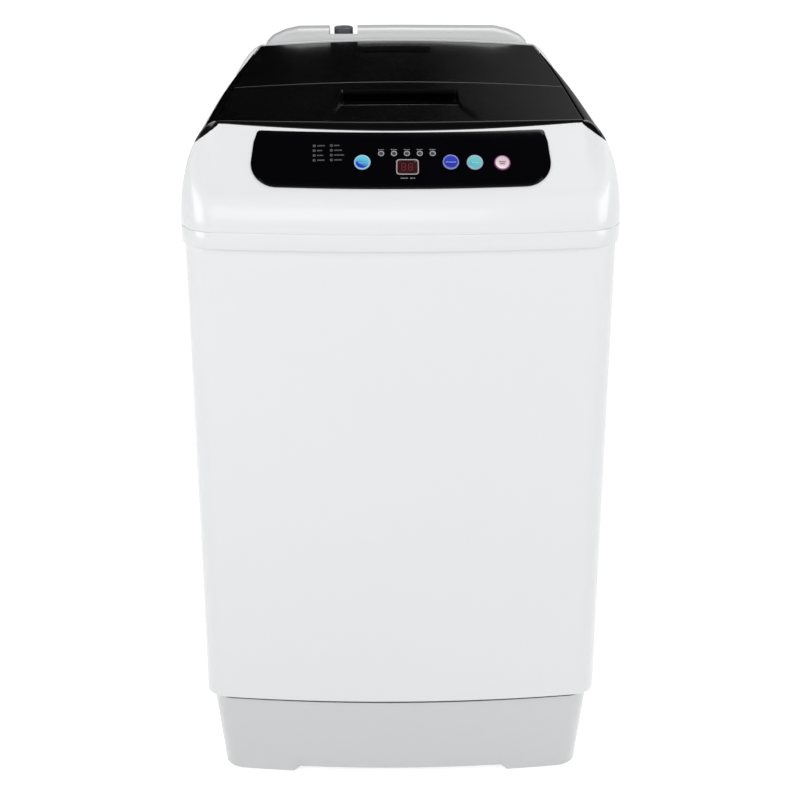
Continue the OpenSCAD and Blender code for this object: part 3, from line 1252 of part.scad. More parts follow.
module pulsator() {
    z = basket_z0 + 5;
    color("lightsteelblue") difference() {
        union() {
            rotate_extrude($fn = 96) polygon([[wash_shaft_r - 1, z + 1.5], [base_hub_r, z + 1.5],
                [pulsator_r - 10, z + 4], [pulsator_r, z + 8], [pulsator_r, z + 12], [pulsator_r - 14, z + 9.5],
                [base_hub_r + 10, z + 8], [boss_r, z + 16], [boss_r - 12, z + 26], [wash_shaft_r - 1, z + 29]]);
            for (i = [0 : vanes - 1]) rotate([0, 0, i * 360 / vanes]) hull() {
                translate([vane_in, 0, z + 4]) cylinder(r1 = 9, r2 = 4, h = 26, $fn = 24);
                translate([vane_out, 10, z + 6]) cylinder(r1 = 10, r2 = 4, h = 12, $fn = 24);
            }
        }
        translate([0, 0, z - 5]) cylinder(r = wash_shaft_r + 0.02, h = wash_z1 - z + 5);
        translate([0, 0, z]) cylinder(r = 3.6, h = 60);
        translate([0, 0, wash_z1 + 3]) cylinder(r = 12, h = 40);
    }
}
module pulsator_screw() {
    color("silver") {
        translate([0, 0, wash_z1 - 22]) cylinder(r = 3, h = 26);
        translate([0, 0, wash_z1 + 3.1]) cylinder(r = 8, h = 5);
    }
}

cabinet();
rear_panel();
base_skirt();
fixed_feet();
adjustable_foot();
corner_brackets();
top_cover();
lid_surround();
rear_console();
control_overlay();
display_window();
indicator_lenses();
program_button();
water_level_button();
process_button();
start_button();
control_board();
board_spacers();
lid_rear();
lid_front();
lid_handle_cup();
lid_slot_insert();
lid_hinge_pins();
lid_fold_pins();
fold_leaves_front();
fold_leaves_rear();
inlet_valve();
inlet_box();
level_sensor();
suspension_rods();
suspension_springs();
damper_cups();
outer_tub();
tub_cover();
support_plate();
clutch_housing();
motor();
motor_mounts();
drive_belt();
drain_valve();
drain_bellows();
drain_outlet();
shaft_seal();
basket();
basket_base();
balance_ring();
spin_shaft();
lint_filter();
pulsator();
wash_shaft();
pulsator_screw();
clutch_pulley();
motor_pulley();
run_capacitor();
rear_panel_screws();
cover_screws();
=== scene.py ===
# Top load washing machine with a folding lid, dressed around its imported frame.
# Shapes are worked out in millimetres and become metres when a piece is made.
import math

import bmesh
import bpy
import numpy as np
from mathutils import Matrix


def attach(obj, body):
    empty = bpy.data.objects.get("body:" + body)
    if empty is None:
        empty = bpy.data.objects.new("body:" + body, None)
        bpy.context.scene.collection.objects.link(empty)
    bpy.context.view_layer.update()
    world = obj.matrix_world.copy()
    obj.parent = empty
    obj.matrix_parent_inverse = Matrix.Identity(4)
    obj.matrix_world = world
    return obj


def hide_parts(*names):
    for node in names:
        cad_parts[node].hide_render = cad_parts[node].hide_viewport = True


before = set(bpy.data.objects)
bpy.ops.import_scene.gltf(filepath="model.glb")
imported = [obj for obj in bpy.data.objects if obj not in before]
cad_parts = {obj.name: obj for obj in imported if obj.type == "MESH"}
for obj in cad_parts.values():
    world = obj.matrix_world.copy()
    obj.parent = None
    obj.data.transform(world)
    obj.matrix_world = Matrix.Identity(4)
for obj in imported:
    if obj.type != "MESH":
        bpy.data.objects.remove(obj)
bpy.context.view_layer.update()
mm = 0.001


def addObject(name, data):
    thing = bpy.data.objects.new(name, data)
    bpy.context.scene.collection.objects.link(thing)
    return thing


# ---------- camera and light ----------
view = dict(place=(-26.0, -2144.1, 1375.7), pitch=23.36, yaw=0.74, lens=76.5)


def aimCamera():
    # level, turned right by the yaw and down by the pitch
    pitch, yaw = math.radians(view["pitch"]), math.radians(view["yaw"])
    data = bpy.data.cameras.new("camera")
    data.lens = view["lens"]
    data.sensor_width = 36
    data.clip_end = 100
    camera = addObject("camera", data)
    turn = Matrix.Rotation(-yaw, 4, "Z") @ Matrix.Rotation(math.pi / 2 - pitch, 4, "X")
    camera.matrix_world = Matrix.Translation([v * mm for v in view["place"]]) @ turn
    bpy.context.scene.camera = camera


lamps = [
    # name, place, aims at, size, power
    ("leftLamp", (-2.7, -1.9, 1.5), (0, 0, 0.45), (1.6, 2.2), 42),
    ("rightLamp", (2.7, -1.9, 1.5), (0, 0, 0.45), (1.6, 2.2), 40),
    ("frontLamp", (-0.4, -3.4, 1.9), (0, 0, 0.7), (2.2, 1.4), 17),
    ("topLamp", (0.5, 0.9, 3.0), (0, 0, 0.8), (2.2, 1.6), 34),
]


def hangLamps():
    for name, place, target, size, power in lamps:
        data = bpy.data.lights.new(name, "AREA")
        data.shape = "RECTANGLE"
        data.size, data.size_y = size
        data.energy = power
        lamp = addObject(name, data)
        away = np.array(place, float) - np.array(target, float)
        away /= np.linalg.norm(away)
        side = np.cross((0, 0, 1.0), away)
        side /= np.linalg.norm(side)
        turn = Matrix(np.stack([side, np.cross(away, side), away], 1).tolist()).to_4x4()
        lamp.matrix_world = Matrix.Translation(place) @ turn


aimCamera()
bpy.context.scene.view_settings.view_transform = "Standard"
print("stage: camera set")


# ---------- materials ----------
class Wire:
    # a socket that can stand in sums and comparisons: wire * 2, 0.5 + wire, wire ** 0.5, wire > 1
    def __init__(self, nodes, socket):
        self.nodes, self.socket = nodes, socket

    def calc(self, operation, a, b):
        return self.nodes.add("Math", {"operation": operation}, {0: a, 1: b})

    def __add__(self, other):
        return self.calc("ADD", self, other)

    def __radd__(self, other):
        return self.calc("ADD", other, self)

    def __sub__(self, other):
        return self.calc("SUBTRACT", self, other)

    def __mul__(self, other):
        return self.calc("MULTIPLY", self, other)

    def __rmul__(self, other):
        return self.calc("MULTIPLY", other, self)

    def __truediv__(self, other):
        return self.calc("DIVIDE", self, other)

    def __pow__(self, other):
        return self.calc("POWER", self, other)

    def __gt__(self, other):
        return self.calc("GREATER_THAN", self, other)

    def __lt__(self, other):
        return self.calc("LESS_THAN", self, other)


class Nodes:
    # a node tree with one way to add a node: its kind, its settings and what its sockets hold
    def __init__(self, tree):
        self.tree = tree
        tree.nodes.clear()

    def add(self, kind, settings=None, inputs=None, output=0):
        node = self.tree.nodes.new("ShaderNode" + kind)
        for key, value in (settings or {}).items():
            if key == "stops":
                ramp = node.color_ramp.elements
                while len(ramp) < len(value):
                    ramp.new(0.5)
                for element, (place, grey) in zip(ramp, value):
                    element.position = place
                    element.color = (grey, grey, grey, 1)
            else:
                setattr(node, key, value)
        for key, value in (inputs or {}).items():
            self.plug(node.inputs[key], value)
        return Wire(self, node.outputs[output])

    def plug(self, socket, value):
        if isinstance(value, Wire):
            self.tree.links.new(value.socket, socket)
        else:
            socket.default_value = (*value, 1) if socket.type == "RGBA" and len(value) == 3 else value


class Paint(Nodes):
    # one material: its Principled surface and what feeds it
    def __init__(self, name, **constants):
        self.material = bpy.data.materials.new(name)
        self.material.use_nodes = True
        super().__init__(self.material.node_tree)
        output = self.tree.nodes.new("ShaderNodeOutputMaterial")
        self.surface = self.tree.nodes.new("ShaderNodeBsdfPrincipled")
        self.tree.links.new(self.surface.outputs[0], output.inputs["Surface"])
        self.feed({key.replace("_", " "): value for key, value in constants.items()})

    def feed(self, sockets):
        for key, value in sockets.items():
            self.plug(self.surface.inputs[key], value)
        return self

    def place(self, stretch=(1, 1, 1)):
        # object coordinates, stretched
        spot = self.add("TexCoord", output="Object")
        return self.add("Mapping", {"vector_type": "POINT"}, {"Vector": spot, "Scale": stretch})

    def along(self, axis):
        # how far along one axis of its object a point lies, in metres
        return self.add("SeparateXYZ", {}, {"Vector": self.add("TexCoord", output="Object")}, axis)

    def noise(self, size, detail=2.0, stretch=(1, 1, 1)):
        # noise whose grains are about size millimetres
        return self.add("TexNoise", {}, {"Vector": self.place(stretch), "Scale": 1 / (size * mm),
                                         "Detail": detail, "Roughness": 0.5}, "Fac")

    def bump(self, height, depth):
        # relief that is depth millimetres deep
        return self.add("Bump", {}, {"Height": height, "Strength": 1.0, "Distance": depth * mm}, "Normal")

    def blend(self, share, first, second):
        return self.add("Mix", {"data_type": "RGBA"}, {0: share, 6: first, 7: second}, 2)


def shade(colour, factor):
    return tuple(min(1.0, c * factor) for c in colour)


def moulded(name, colour, roughness, grain=0.6, depth=0.012, mottle=0.04, cloud=60, coat=0.0, specular=0.5):
    # moulded or painted skin: fine grain in the relief, soft clouds in colour and gloss
    paint = Paint(name, Metallic=0.0, Coat_Weight=coat, Coat_Roughness=0.08, Specular_IOR_Level=specular)
    clouds, fine = paint.noise(cloud), paint.noise(grain)
    return paint.feed({
        "Base Color": paint.blend(clouds, shade(colour, 1 - mottle), shade(colour, 1 + mottle)),
        "Roughness": roughness * (0.9 + 0.2 * clouds),
        "Normal": paint.bump(fine, depth),
    }).material


def metal(name, colour, roughness, grain=(0.2, 14, 0.2), depth=0.01):
    # drawn metal: long streaks along one axis, with duller patches
    spread = 0.12
    paint = Paint(name, Metallic=1.0)
    streaks = paint.noise(1.0, 3.0, tuple(1 / g for g in grain))
    patches = paint.noise(28, 3.0)
    return paint.feed({
        "Base Color": paint.blend(patches, shade(colour, 1 - spread), shade(colour, 1 + spread * 0.6)),
        "Roughness": roughness * (0.75 + 0.5 * patches),
        "Normal": paint.bump(streaks, depth),
    }).material


white = (0.86, 0.86, 0.86)
print("stage: shader kit ready")


# ---------- shape kit ----------
def lerp(a, b, t):
    return a + (b - a) * t


def smooth(t):
    t = np.clip(t, 0, 1)
    return t * t * (3 - 2 * t)


class Shape:
    # points and faces of one piece, gathered from grids and caps
    def __init__(self):
        self.points, self.faces, self.count = [], [], 0

    def grid(self, points, around=False, through=False):
        # quads between the points of a grid; around joins its last column to the first, through its last row
        rows, columns = points.shape[:2]
        r, c = np.meshgrid(np.arange(rows - (not through)), np.arange(columns - (not around)), indexing="ij")
        r2, c2 = (r + 1) % rows, (c + 1) % columns
        quads = np.stack([r * columns + c, r * columns + c2, r2 * columns + c2, r2 * columns + c], -1)
        self.faces += (quads.reshape(-1, 4) + self.count).tolist()
        self.points.append(points.reshape(-1, 3))
        self.count += rows * columns
        return self

    def cap(self, loop):
        # a flat face over a loop of points, as triangles about its middle
        n = len(loop)
        k = np.arange(n)
        self.faces += (np.stack([k, (k + 1) % n, np.full(n, n)], -1) + self.count).tolist()
        self.points += [loop, loop.mean(0, keepdims=True)]
        self.count += n + 1
        return self

    def tube(self, loops):
        # closed solid through a stack of loops
        return self.grid(loops, around=True).cap(loops[0]).cap(loops[-1])

    def turned(self, profile, middle=(0, 0, 0), steps=64):
        # profile of radius and height carried round the upright axis through middle
        profile = np.array(profile, float)
        angle = np.linspace(0, 2 * math.pi, steps, endpoint=False)
        ring = np.stack([np.outer(profile[:, 0], np.cos(angle)), np.outer(profile[:, 0], np.sin(angle)),
                         np.repeat(profile[:, 1:2], steps, 1)], -1)
        onAxis = profile[0, 0] == 0 and profile[-1, 0] == 0
        return self.grid(ring + np.array(middle, float), around=True, through=not onAxis)

    def block(self, low, high, edge=0.4):
        # box with its edges taken off: squares that shrink by edge at the top and bottom
        low, high = np.array(low, float), np.array(high, float)
        middle, half = (low + high) / 2, (high - low) / 2
        corners = np.array([(-1, -1), (1, -1), (1, 1), (-1, 1)], float)
        loops = []
        for z, inset in ((low[2], edge), (low[2] + edge, 0), (high[2] - edge, 0), (high[2], edge)):
            xy = middle[:2] + corners * (half[:2] - inset)
            loops.append(np.c_[xy, np.full(4, z)])
        return self.tube(np.array(loops))


def meshOf(name, shape, weld=0.004):
    # a Shape's mesh in metres, its doubles merged and its faces turned outwards
    mesh = bpy.data.meshes.new(name)
    mesh.from_pydata((np.concatenate(shape.points) * mm).tolist(), [], shape.faces)
    work = bmesh.new()
    work.from_mesh(mesh)
    bmesh.ops.remove_doubles(work, verts=work.verts, dist=weld * mm)
    bmesh.ops.recalc_face_normals(work, faces=work.faces)
    work.to_mesh(mesh)
    work.free()
    return mesh


def finishPiece(name, shape, material, ridesOn, stands=(), crease=32, weld=0.004):
    # a Shape becomes a piece in the place of its CAD nodes, sharp only past the crease angle
    mesh = meshOf(name, shape, weld)
    mesh.shade_smooth()
    mesh.set_sharp_from_angle(angle=math.radians(crease))
    piece = addObject(name, mesh)
    mesh.materials.append(material)
    if stands:
        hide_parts(*stands)
    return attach(piece, ridesOn)


def carve(piece, cutter, crease=32, solver="EXACT"):
    # takes a Shape out of a piece and keeps the result as its mesh
    tool = addObject("cutter", meshOf("cutter", cutter))
    cut = piece.modifiers.new("cut", "BOOLEAN")
    cut.operation, cut.solver, cut.object = "DIFFERENCE", solver, tool
    bpy.context.view_layer.update()
    carved = bpy.data.meshes.new_from_object(piece.evaluated_get(bpy.context.evaluated_depsgraph_get()))
    piece.modifiers.remove(cut)
    skin = piece.data.materials[0]
    carved.materials.clear()
    carved.materials.append(skin)
    carved.polygons.foreach_set("material_index", np.zeros(len(carved.polygons), np.int32))
    old, piece.data = piece.data, carved
    bpy.data.meshes.remove(old)
    carved.name = piece.name
    bpy.data.objects.remove(tool)
    carved.shade_smooth()
    carved.set_sharp_from_angle(angle=math.radians(crease))
    return piece


# ---------- outlines of the body ----------
body = dict(halfWidth=260, front=-265, back=265, baseTop=130.7, cabinetLow=131, cabinetHigh=750,
            cabinetHalf=256, cabinetFront=-258, cabinetBack=262, bow=18, rimLow=750.3, bandHigh=772.3,
            rimCorner=44, rimBackCorner=20, edgeZ=883.3, edgeY=-183.5, deckZ=850.3, mouthZ=730.3,
            trimEnd=165)
fine = 3        # stations of this model for each station of the frame's outlines
nBack, nCorner, nSide, nSideRear, nFront = (n * fine for n in (5, 6, 12, 4, 9))
iTrim = nBack + nCorner + nSideRear
iSideEnd = nBack + nCorner + nSide
iCornerEnd = iSideEnd + nCorner
station = np.arange(iCornerEnd + nFront + 1)


def bowOf(x, half=body["halfWidth"]):
    return body["bow"] * (x / half) ** 2


def halfOutline(half, front, back, corner, backCorner, frontShares=None):
    # from the middle of the back, round the corners by arcs, to the middle of the bowed front
    split = body["trimEnd"]
    tilt = math.atan(2 * body["bow"] * (half - corner) / half**2)
    x0 = half - corner * (1 - math.sin(tilt))
    y0 = front + bowOf(x0, half)
    cx, cy = x0 - corner * math.sin(tilt), y0 + corner * math.cos(tilt)
    a = math.pi / 2 * (1 - np.arange(nCorner + 1) / nCorner)
    b = -(math.pi / 2 - tilt) * np.arange(1, nCorner + 1) / nCorner
    rear = lerp(back - backCorner, split, np.arange(1, nSideRear + 1) / nSideRear)
    side = lerp(split, cy, np.arange(1, nSide - nSideRear + 1) / (nSide - nSideRear))
    shares = 1 - np.arange(1, nFront + 1) / nFront if frontShares is None else frontShares
    xs = x0 * shares
    return np.concatenate([
        np.c_[(half - backCorner) * np.arange(nBack) / nBack, np.full(nBack, back)],
        np.c_[half - backCorner + backCorner * np.cos(a), back - backCorner + backCorner * np.sin(a)],
        np.c_[np.full(nSideRear, half), rear], np.c_[np.full(nSide - nSideRear, half), side],
        np.c_[cx + corner * np.cos(b), cy + corner * np.sin(b)], np.c_[xs, front + bowOf(xs, half)]])


def wholeLoop(half):
    # mirrors half an outline into a closed loop
    other = half[-2:0:-1] * np.array([-1, 1, 1][:half.shape[1]])
    return np.concatenate([half, other])


def atHeight(outline, z):
    return np.c_[outline, np.full(len(outline), z) if np.isscalar(z) else z]


# ---------- the lid's surface and the surface of the cover ----------
lid = dict(frontHalf=218.5, foldHalf=210.5, rearHalf=189.5, foldY=-11, rearY=201, foldRise=9, rearRise=18.5,
           crown=7, thick=10, gap=1.5, gutter=8.5, gutterDepth=24, ledge=14, cornerR=4)


def lidHalf(y):
    # parabola through the half widths at the front edge, the fold and the rear edge
    a, b, c = body["edgeY"], lid["foldY"], lid["rearY"]
    return (lid["frontHalf"] * (y - b) * (y - c) / ((a - b) * (a - c))
            + lid["foldHalf"] * (y - a) * (y - c) / ((b - a) * (b - c))
            + lid["rearHalf"] * (y - a) * (y - b) / ((c - a) * (c - b)))


def lidZ(x, y):
    # two gentle slopes that meet at the fold, crowned over the width
    t = np.clip((y - body["edgeY"]) / (lid["foldY"] - body["edgeY"]), 0, 1)
    u = np.clip((y - lid["foldY"]) / (lid["rearY"] - lid["foldY"]), 0, 1)
    crown = lid["crown"] * (1 - (1 - t) ** 2)
    rise = body["edgeZ"] + lid["foldRise"] * t + (lid["rearRise"] - lid["foldRise"]) * u
    return rise - crown * (x / lidHalf(y)) ** 2


def edgeOutline():
    # the edge of the lid opening, station by station beside the rim's outline
    r = lid["cornerR"]
    xf, yf = lid["frontHalf"] - r, body["edgeY"] + bowOf(lid["frontHalf"])
    yr = lid["rearY"] + lid["gutter"]
    xr = lidHalf(yr) - r
    a = math.pi / 2 * (1 - np.arange(nCorner + 1) / nCorner)
    b = -math.pi / 2 * np.arange(1, nCorner + 1) / nCorner
    rear = lerp(yr - r, body["trimEnd"], np.arange(1, nSideRear + 1) / nSideRear)
    side = lerp(body["trimEnd"], yf + r, np.arange(1, nSide - nSideRear + 1) / (nSide - nSideRear))
    xs = xf * (1 - np.arange(1, nFront + 1) / nFront)
    xy = np.concatenate([
        np.c_[xr * np.arange(nBack) / nBack, np.full(nBack, yr)],
        np.c_[xr + r * np.cos(a), yr - r + r * np.sin(a)],
        np.c_[lidHalf(rear), rear], np.c_[lidHalf(side), side],
        np.c_[xf + r * np.cos(b), yf + r + r * np.sin(b)],
        np.c_[xs, body["edgeY"] + bowOf(xs)]])
    return np.c_[xy, lidZ(xy[:, 0], xy[:, 1])]


rim = halfOutline(body["halfWidth"], body["front"], body["back"], body["rimCorner"], body["rimBackCorner"])
edge = edgeOutline()
nose = dict(radius=70, run=81.5, rise=111, part=0.45)
frontWeight = smooth((station - iSideEnd) / nCorner)
# how full the sections are: 1 is straight, 2 a quarter ellipse, 3 fuller still
sidePower = np.interp(station, [0, nBack - 5, nBack, nBack + nCorner, iTrim, iSideEnd],
                      [3, 3, 1.6, 1.05, 1.12, 2.0])


def frontRun(s):
    # 45 degree arc under the control face, then the straight face itself
    arc = nose["radius"] * (1 - np.cos(np.radians(45 * s / nose["part"]))) / nose["run"]
    end = nose["radius"] * (1 - math.cos(math.radians(45))) / nose["run"]
    return np.where(s < nose["part"], arc, lerp(end, 1, (s - nose["part"]) / (1 - nose["part"])))


def frontRise(s):
    arc = nose["radius"] * np.sin(np.radians(45 * s / nose["part"])) / nose["rise"]
    end = nose["radius"] * math.sin(math.radians(45)) / nose["rise"]
    return np.where(s < nose["part"], arc, lerp(end, 1, (s - nose["part"]) / (1 - nose["part"])))


def coverPoint(s):
    # section from the rim up to the lid's edge: superellipse at the sides, arc and straight at the front
    s = np.broadcast_to(s, station.shape).astype(float)
    quarter = np.radians(90 * np.clip(s, 0, 1))
    run = lerp(1 - np.maximum(np.cos(quarter), 0) ** (2 / sidePower), frontRun(s), frontWeight)
    rise = lerp(np.sin(quarter) ** (2 / sidePower), frontRise(s), frontWeight)
    return np.c_[lerp(rim, edge[:, :2], run[:, None]), lerp(body["bandHigh"], edge[:, 2], rise)]


def innerPoint(s, depth):
    # the same section moved in square to itself
    low, high, here = coverPoint(s - 0.01), coverPoint(s + 0.01), coverPoint(s)
    inward = edge[:, :2] - rim
    inward = inward / np.linalg.norm(inward, axis=1, keepdims=True)
    across = ((high - low)[:, :2] * inward).sum(1)
    up = (high - low)[:, 2]
    length = np.hypot(across, up)
    square = np.c_[inward * (up / length)[:, None], -across / length]
    return here + square * np.broadcast_to(depth, station.shape)[:, None]


# the black lip below the lid's edge is widest at the middle and narrows with the square of x; a millimetre
# of it is perMm of the section
lip = dict(middle=11.1, narrowing=1.7e-4, side=3.9, perMm=0.00635)
lipWidth = np.maximum(lip["middle"] - lip["narrowing"] * edge[:, 0] ** 2, lip["side"])
frontShare = 1 - lip["perMm"] * lipWidth
# where the trim begins on the section: down the side, up again round the corner, then along the lip
trimShare = np.where(station < iTrim, 1.0, np.interp(
    station, [iTrim, *(iSideEnd + np.array([0, 3, 6, 9, 12, 15])), iCornerEnd],
    [0.70, 0.60, 0.645, 0.75, 0.865, 0.927, 0.953, frontShare[iCornerEnd]]))
trimShare = np.where(station > iCornerEnd, frontShare, trimShare)
ledgeDepth = lerp(lid["gutterDepth"], lid["thick"] + 0.3, np.clip((station / fine - 12) / 3, 0, 1))


def insetEdge(inset, drop):
    # the lid's edge moved in and down: the ledge that the lid rests on
    back = 1 - np.clip((station - nBack) / nCorner, 0, 1)
    x = edge[:, 0] * (1 - inset * back / 200 - inset * frontWeight / lid["frontHalf"]) \
        - inset * (1 - frontWeight) * (1 - back)
    y = edge[:, 1] - inset * back + inset * frontWeight
    return np.c_[x, y, edge[:, 2] - drop]


def mouthPoint(radius, z):
    flat = edge[:, :2] / np.linalg.norm(edge[:, :2], axis=1, keepdims=True)
    return np.c_[flat * radius, np.full(len(flat), z)]


def loops(*rows):
    return np.array([wholeLoop(r) for r in rows])


# ---------- controls: places on the sloping face ----------
panel = dict(width=350, height=75, drop=13.2, sag=7.4, low=-0.9, high=0.7, lowR=30,
             buttons=(-45, 58, 86, 118), buttonRow=53, buttonR=9.5,
             lenses=5, lensX=-23, lensPitch=15, lensRow=41.5, lensR=2.6,
             screenX=7.5, screenRow=59.5, screenW=26, screenH=20)
half2 = math.sqrt(0.5)


def onFace(x, drop, out=0.0):
    # point of the bowed 45 degree face: x across, drop down the slope from the lid's edge, out of the face
    x, drop, out = np.broadcast_arrays(np.asarray(x, float), drop, out)
    lift = out - bowOf(x) * half2
    y = body["edgeY"] - drop * half2 - lift * half2
    z = body["edgeZ"] - drop * half2 + lift * half2
    return np.stack([x, y, z], -1)


def faceStack(shape, outline, layers):
    # a flat outline (x, drop) stacked at heights out of the face: (height, growth) pairs
    middle = outline.mean(0)
    rows = []
    for height, grow in layers:
        reach = np.linalg.norm(outline - middle, axis=1, keepdims=True)
        flat = middle + (outline - middle) * (1 + grow / reach)
        rows.append(onFace(flat[:, 0], flat[:, 1], height))
    return shape.tube(np.array(rows))


def faceHole(shape, outline, reach):
    # a cutter that goes reach millimetres in and out of the face
    return faceStack(shape, outline, [(-reach, 0), (reach, 0)])


def ringStrip(shape, outer, inner, low, high):
    # a flat band between two outlines with the same number of points
    rows = [onFace(flat[:, 0], flat[:, 1], height)
            for flat, height in ((outer, low), (outer, high), (inner, high), (inner, low))]
    return shape.grid(np.array(rows), around=True, through=True)


def circle(x, y, r, steps=48):
    a = np.linspace(0, 2 * math.pi, steps, endpoint=False)
    return np.c_[x + r * np.cos(a), y + r * np.sin(a)]


def roundedBox(x, y, w, h, r, steps=6):
    # four quarter arcs round a rectangle
    k = np.repeat(np.arange(4), steps)
    a = np.radians(90 * k + np.tile(np.linspace(0, 90, steps), 4))
    sx, sy = np.where((k == 0) | (k == 3), 1, -1), np.where(k < 2, 1, -1)
    return np.c_[x + sx * (w / 2 - r) + r * np.cos(a), y + sy * (h / 2 - r) + r * np.sin(a)]


def screenBox(grow, r, steps=6):
    return roundedBox(panel["screenX"], panel["screenRow"], panel["screenW"] + grow,
                      panel["screenH"] + grow, r, steps)


lensPlaces = [panel["lensX"] + k * panel["lensPitch"] for k in range(panel["lenses"])]
print("stage: outlines ready")


# ---------- finishes ----------
whiteShell = moulded("whiteShell", white, 0.26, grain=0.9, depth=0.006, mottle=0.006, cloud=160, coat=0.25)
whiteEnamel = moulded("whiteEnamel", white, 0.22, grain=1.6, depth=0.008, mottle=0.006, cloud=220, coat=0.35)
consoleWhite = moulded("consoleWhite", (0.62, 0.62, 0.62), 0.32, grain=0.9, depth=0.006, mottle=0.006,
                       cloud=160, coat=0.15)
blackGloss = moulded("blackGloss", (0.004, 0.004, 0.0045), 0.12, grain=0.8, depth=0.003, mottle=0.2,
                     specular=0.45)
panelBlack = moulded("panelBlack", (0.0015, 0.0015, 0.0025), 0.14, grain=0.7, depth=0.003, mottle=0.25,
                     specular=0.4)
blackMatte = moulded("blackMatte", (0.006, 0.006, 0.007), 0.42, grain=0.5, depth=0.02, mottle=0.2,
                     specular=0.25)
greyPlastic = moulded("greyPlastic", (0.09, 0.095, 0.10), 0.40, grain=0.5, depth=0.02, mottle=0.08)
palePlastic = moulded("palePlastic", (0.66, 0.65, 0.59), 0.42, grain=0.7, depth=0.02, mottle=0.05)
tubPlastic = moulded("tubPlastic", (0.72, 0.73, 0.74), 0.38, grain=0.9, depth=0.02, mottle=0.04)
rubberBlack = moulded("rubberBlack", (0.022, 0.022, 0.023), 0.62, grain=0.4, depth=0.03, mottle=0.18,
                      specular=0.35)
zincSteel = metal("zincSteel", (0.62, 0.63, 0.64), 0.34)
castGrey = metal("castGrey", (0.50, 0.50, 0.51), 0.50, grain=(0.5, 0.5, 0.5), depth=0.03)
motorBlack = moulded("motorBlack", (0.03, 0.03, 0.032), 0.34, grain=1.2, depth=0.02, mottle=0.15)
pearlBlue = moulded("pearlBlue", (0.50, 0.60, 0.70), 0.28, grain=0.8, depth=0.006, mottle=0.04, coat=0.3)


def smokedLid():
    # smoked black sheet: near black, with faint cloudy depth and a polish that softens in patches
    paint = Paint("smokedLid", Coat_Weight=0.0, Specular_IOR_Level=0.4)
    clouds, fine = paint.noise(140), paint.noise(0.8)
    x, y = paint.along("X") / mm, paint.along("Y") / mm
    # painted shade in the recess but for its left wall, and in the slot: a black metallic base there mirrors
    # next to nothing
    margin, leftWall = 0.5, 2.5
    pocket = (x > leftWall - recess["x"]) * (x < recess["x"] + margin)
    pocket = pocket * (y > recess["front"] - margin) * (y < recess["rear"] + margin)
    groove = (x > slot["x"] - slot["halfX"]) * (x < slot["x"] + slot["halfX"])
    groove = groove * (y > slot["y"] - slot["halfY"]) * (y < slot["y"] + slot["halfY"])
    return paint.feed({"Base Color": paint.blend(clouds, (0.0015, 0.0015, 0.0018), (0.003, 0.003, 0.0035)),
                       "Metallic": pocket + groove, "Roughness": 0.13 + 0.08 * clouds,
                       "Normal": paint.bump(fine, 0.002)}).material


def keyPearl(name, place, low, high, ringColour):
    # a key's pearl: one colour sweeps into the other along a wavy diagonal, inside a rim of a third
    paint = Paint(name, Metallic=0.0, Coat_Weight=0.6, Coat_Roughness=0.05, Specular_IOR_Level=0.5,
                  Roughness=0.22)
    spot = paint.add("VectorMath", {"operation": "SUBTRACT"},
                     {0: paint.add("TexCoord", output="Object"), 1: tuple(place * mm)})
    spot = paint.add("Mapping", {"vector_type": "POINT"},
                     {"Vector": spot, "Rotation": (math.radians(-45), 0, 0)})
    x, y = [paint.add("SeparateXYZ", {}, {"Vector": spot}, axis) / (panel["buttonR"] * mm) for axis in "XY"]
    wave = paint.add("TexNoise", {}, {"Vector": spot, "Scale": 130.0, "Detail": 1.0})
    sweep = 0.5 + 0.55 * y + 0.18 * x + 0.5 * (wave - 0.5)
    share = paint.add("ValToRGB", {"stops": [(0.25, 0.0), (0.55, 0.75), (0.8, 1.0)]}, {"Fac": sweep})
    radius = (x * x + y * y) ** 0.5
    rimShare = paint.add("ValToRGB", {"stops": [(0.0, 0.0), (0.80, 0.0), (0.90, 1.0)]}, {"Fac": radius})
    grain = paint.add("TexNoise", {}, {"Vector": spot, "Scale": 900.0})
    return paint.feed({"Base Color": paint.blend(rimShare, paint.blend(share, low, high), ringColour),
                       "Normal": paint.bump(grain, 0.004)}).material


# ---------- cabinet and base ----------
cabinet = dict(sheet=1.2, flange=14, corner=30, backCorner=8, fold=0.4)


def makeCabinet():
    # folded sheet, open at the back between its flanges: outer path, back along the inner path
    def path(inset):
        half = halfOutline(body["cabinetHalf"] - inset, body["cabinetFront"] + inset,
                           body["cabinetBack"] - inset, cabinet["corner"] - inset, cabinet["backCorner"])
        half = half[nBack:]
        start = np.array([[body["cabinetHalf"] - cabinet["flange"], half[0, 1]]])
        half = np.concatenate([start, half])
        return np.concatenate([half, half[-2::-1] * (-1, 1)])
    ring = np.concatenate([path(0), path(cabinet["sheet"])[::-1]])
    low, high, fold = body["cabinetLow"], body["cabinetHigh"], cabinet["fold"]
    zs = [low, low + fold, high - fold, high]
    n = len(ring)
    rows = np.array([atHeight(ring, z) for z in zs])
    shape = Shape().grid(rows, around=True)
    k = np.arange(n // 2 - 1)
    for row in (0, len(zs) - 1):
        shape.faces += (np.stack([k, k + 1, n - 2 - k, n - 1 - k], -1) + row * n).tolist()
    finishPiece("cabinetWrap", shape, whiteEnamel, "washer_frame", ["cabinet"])


base = dict(footHalf=238, topHalf=248, taper=19, step=4, wall=3, low=2, cutHalf=140, cutHigh=8, backIn=3,
            backTaper=10, corner=30, backCorner=12, lipWidth=15, bead=0.8,
            drainX=96, drainZ=84, drainR=22, drainY=(225, 285))


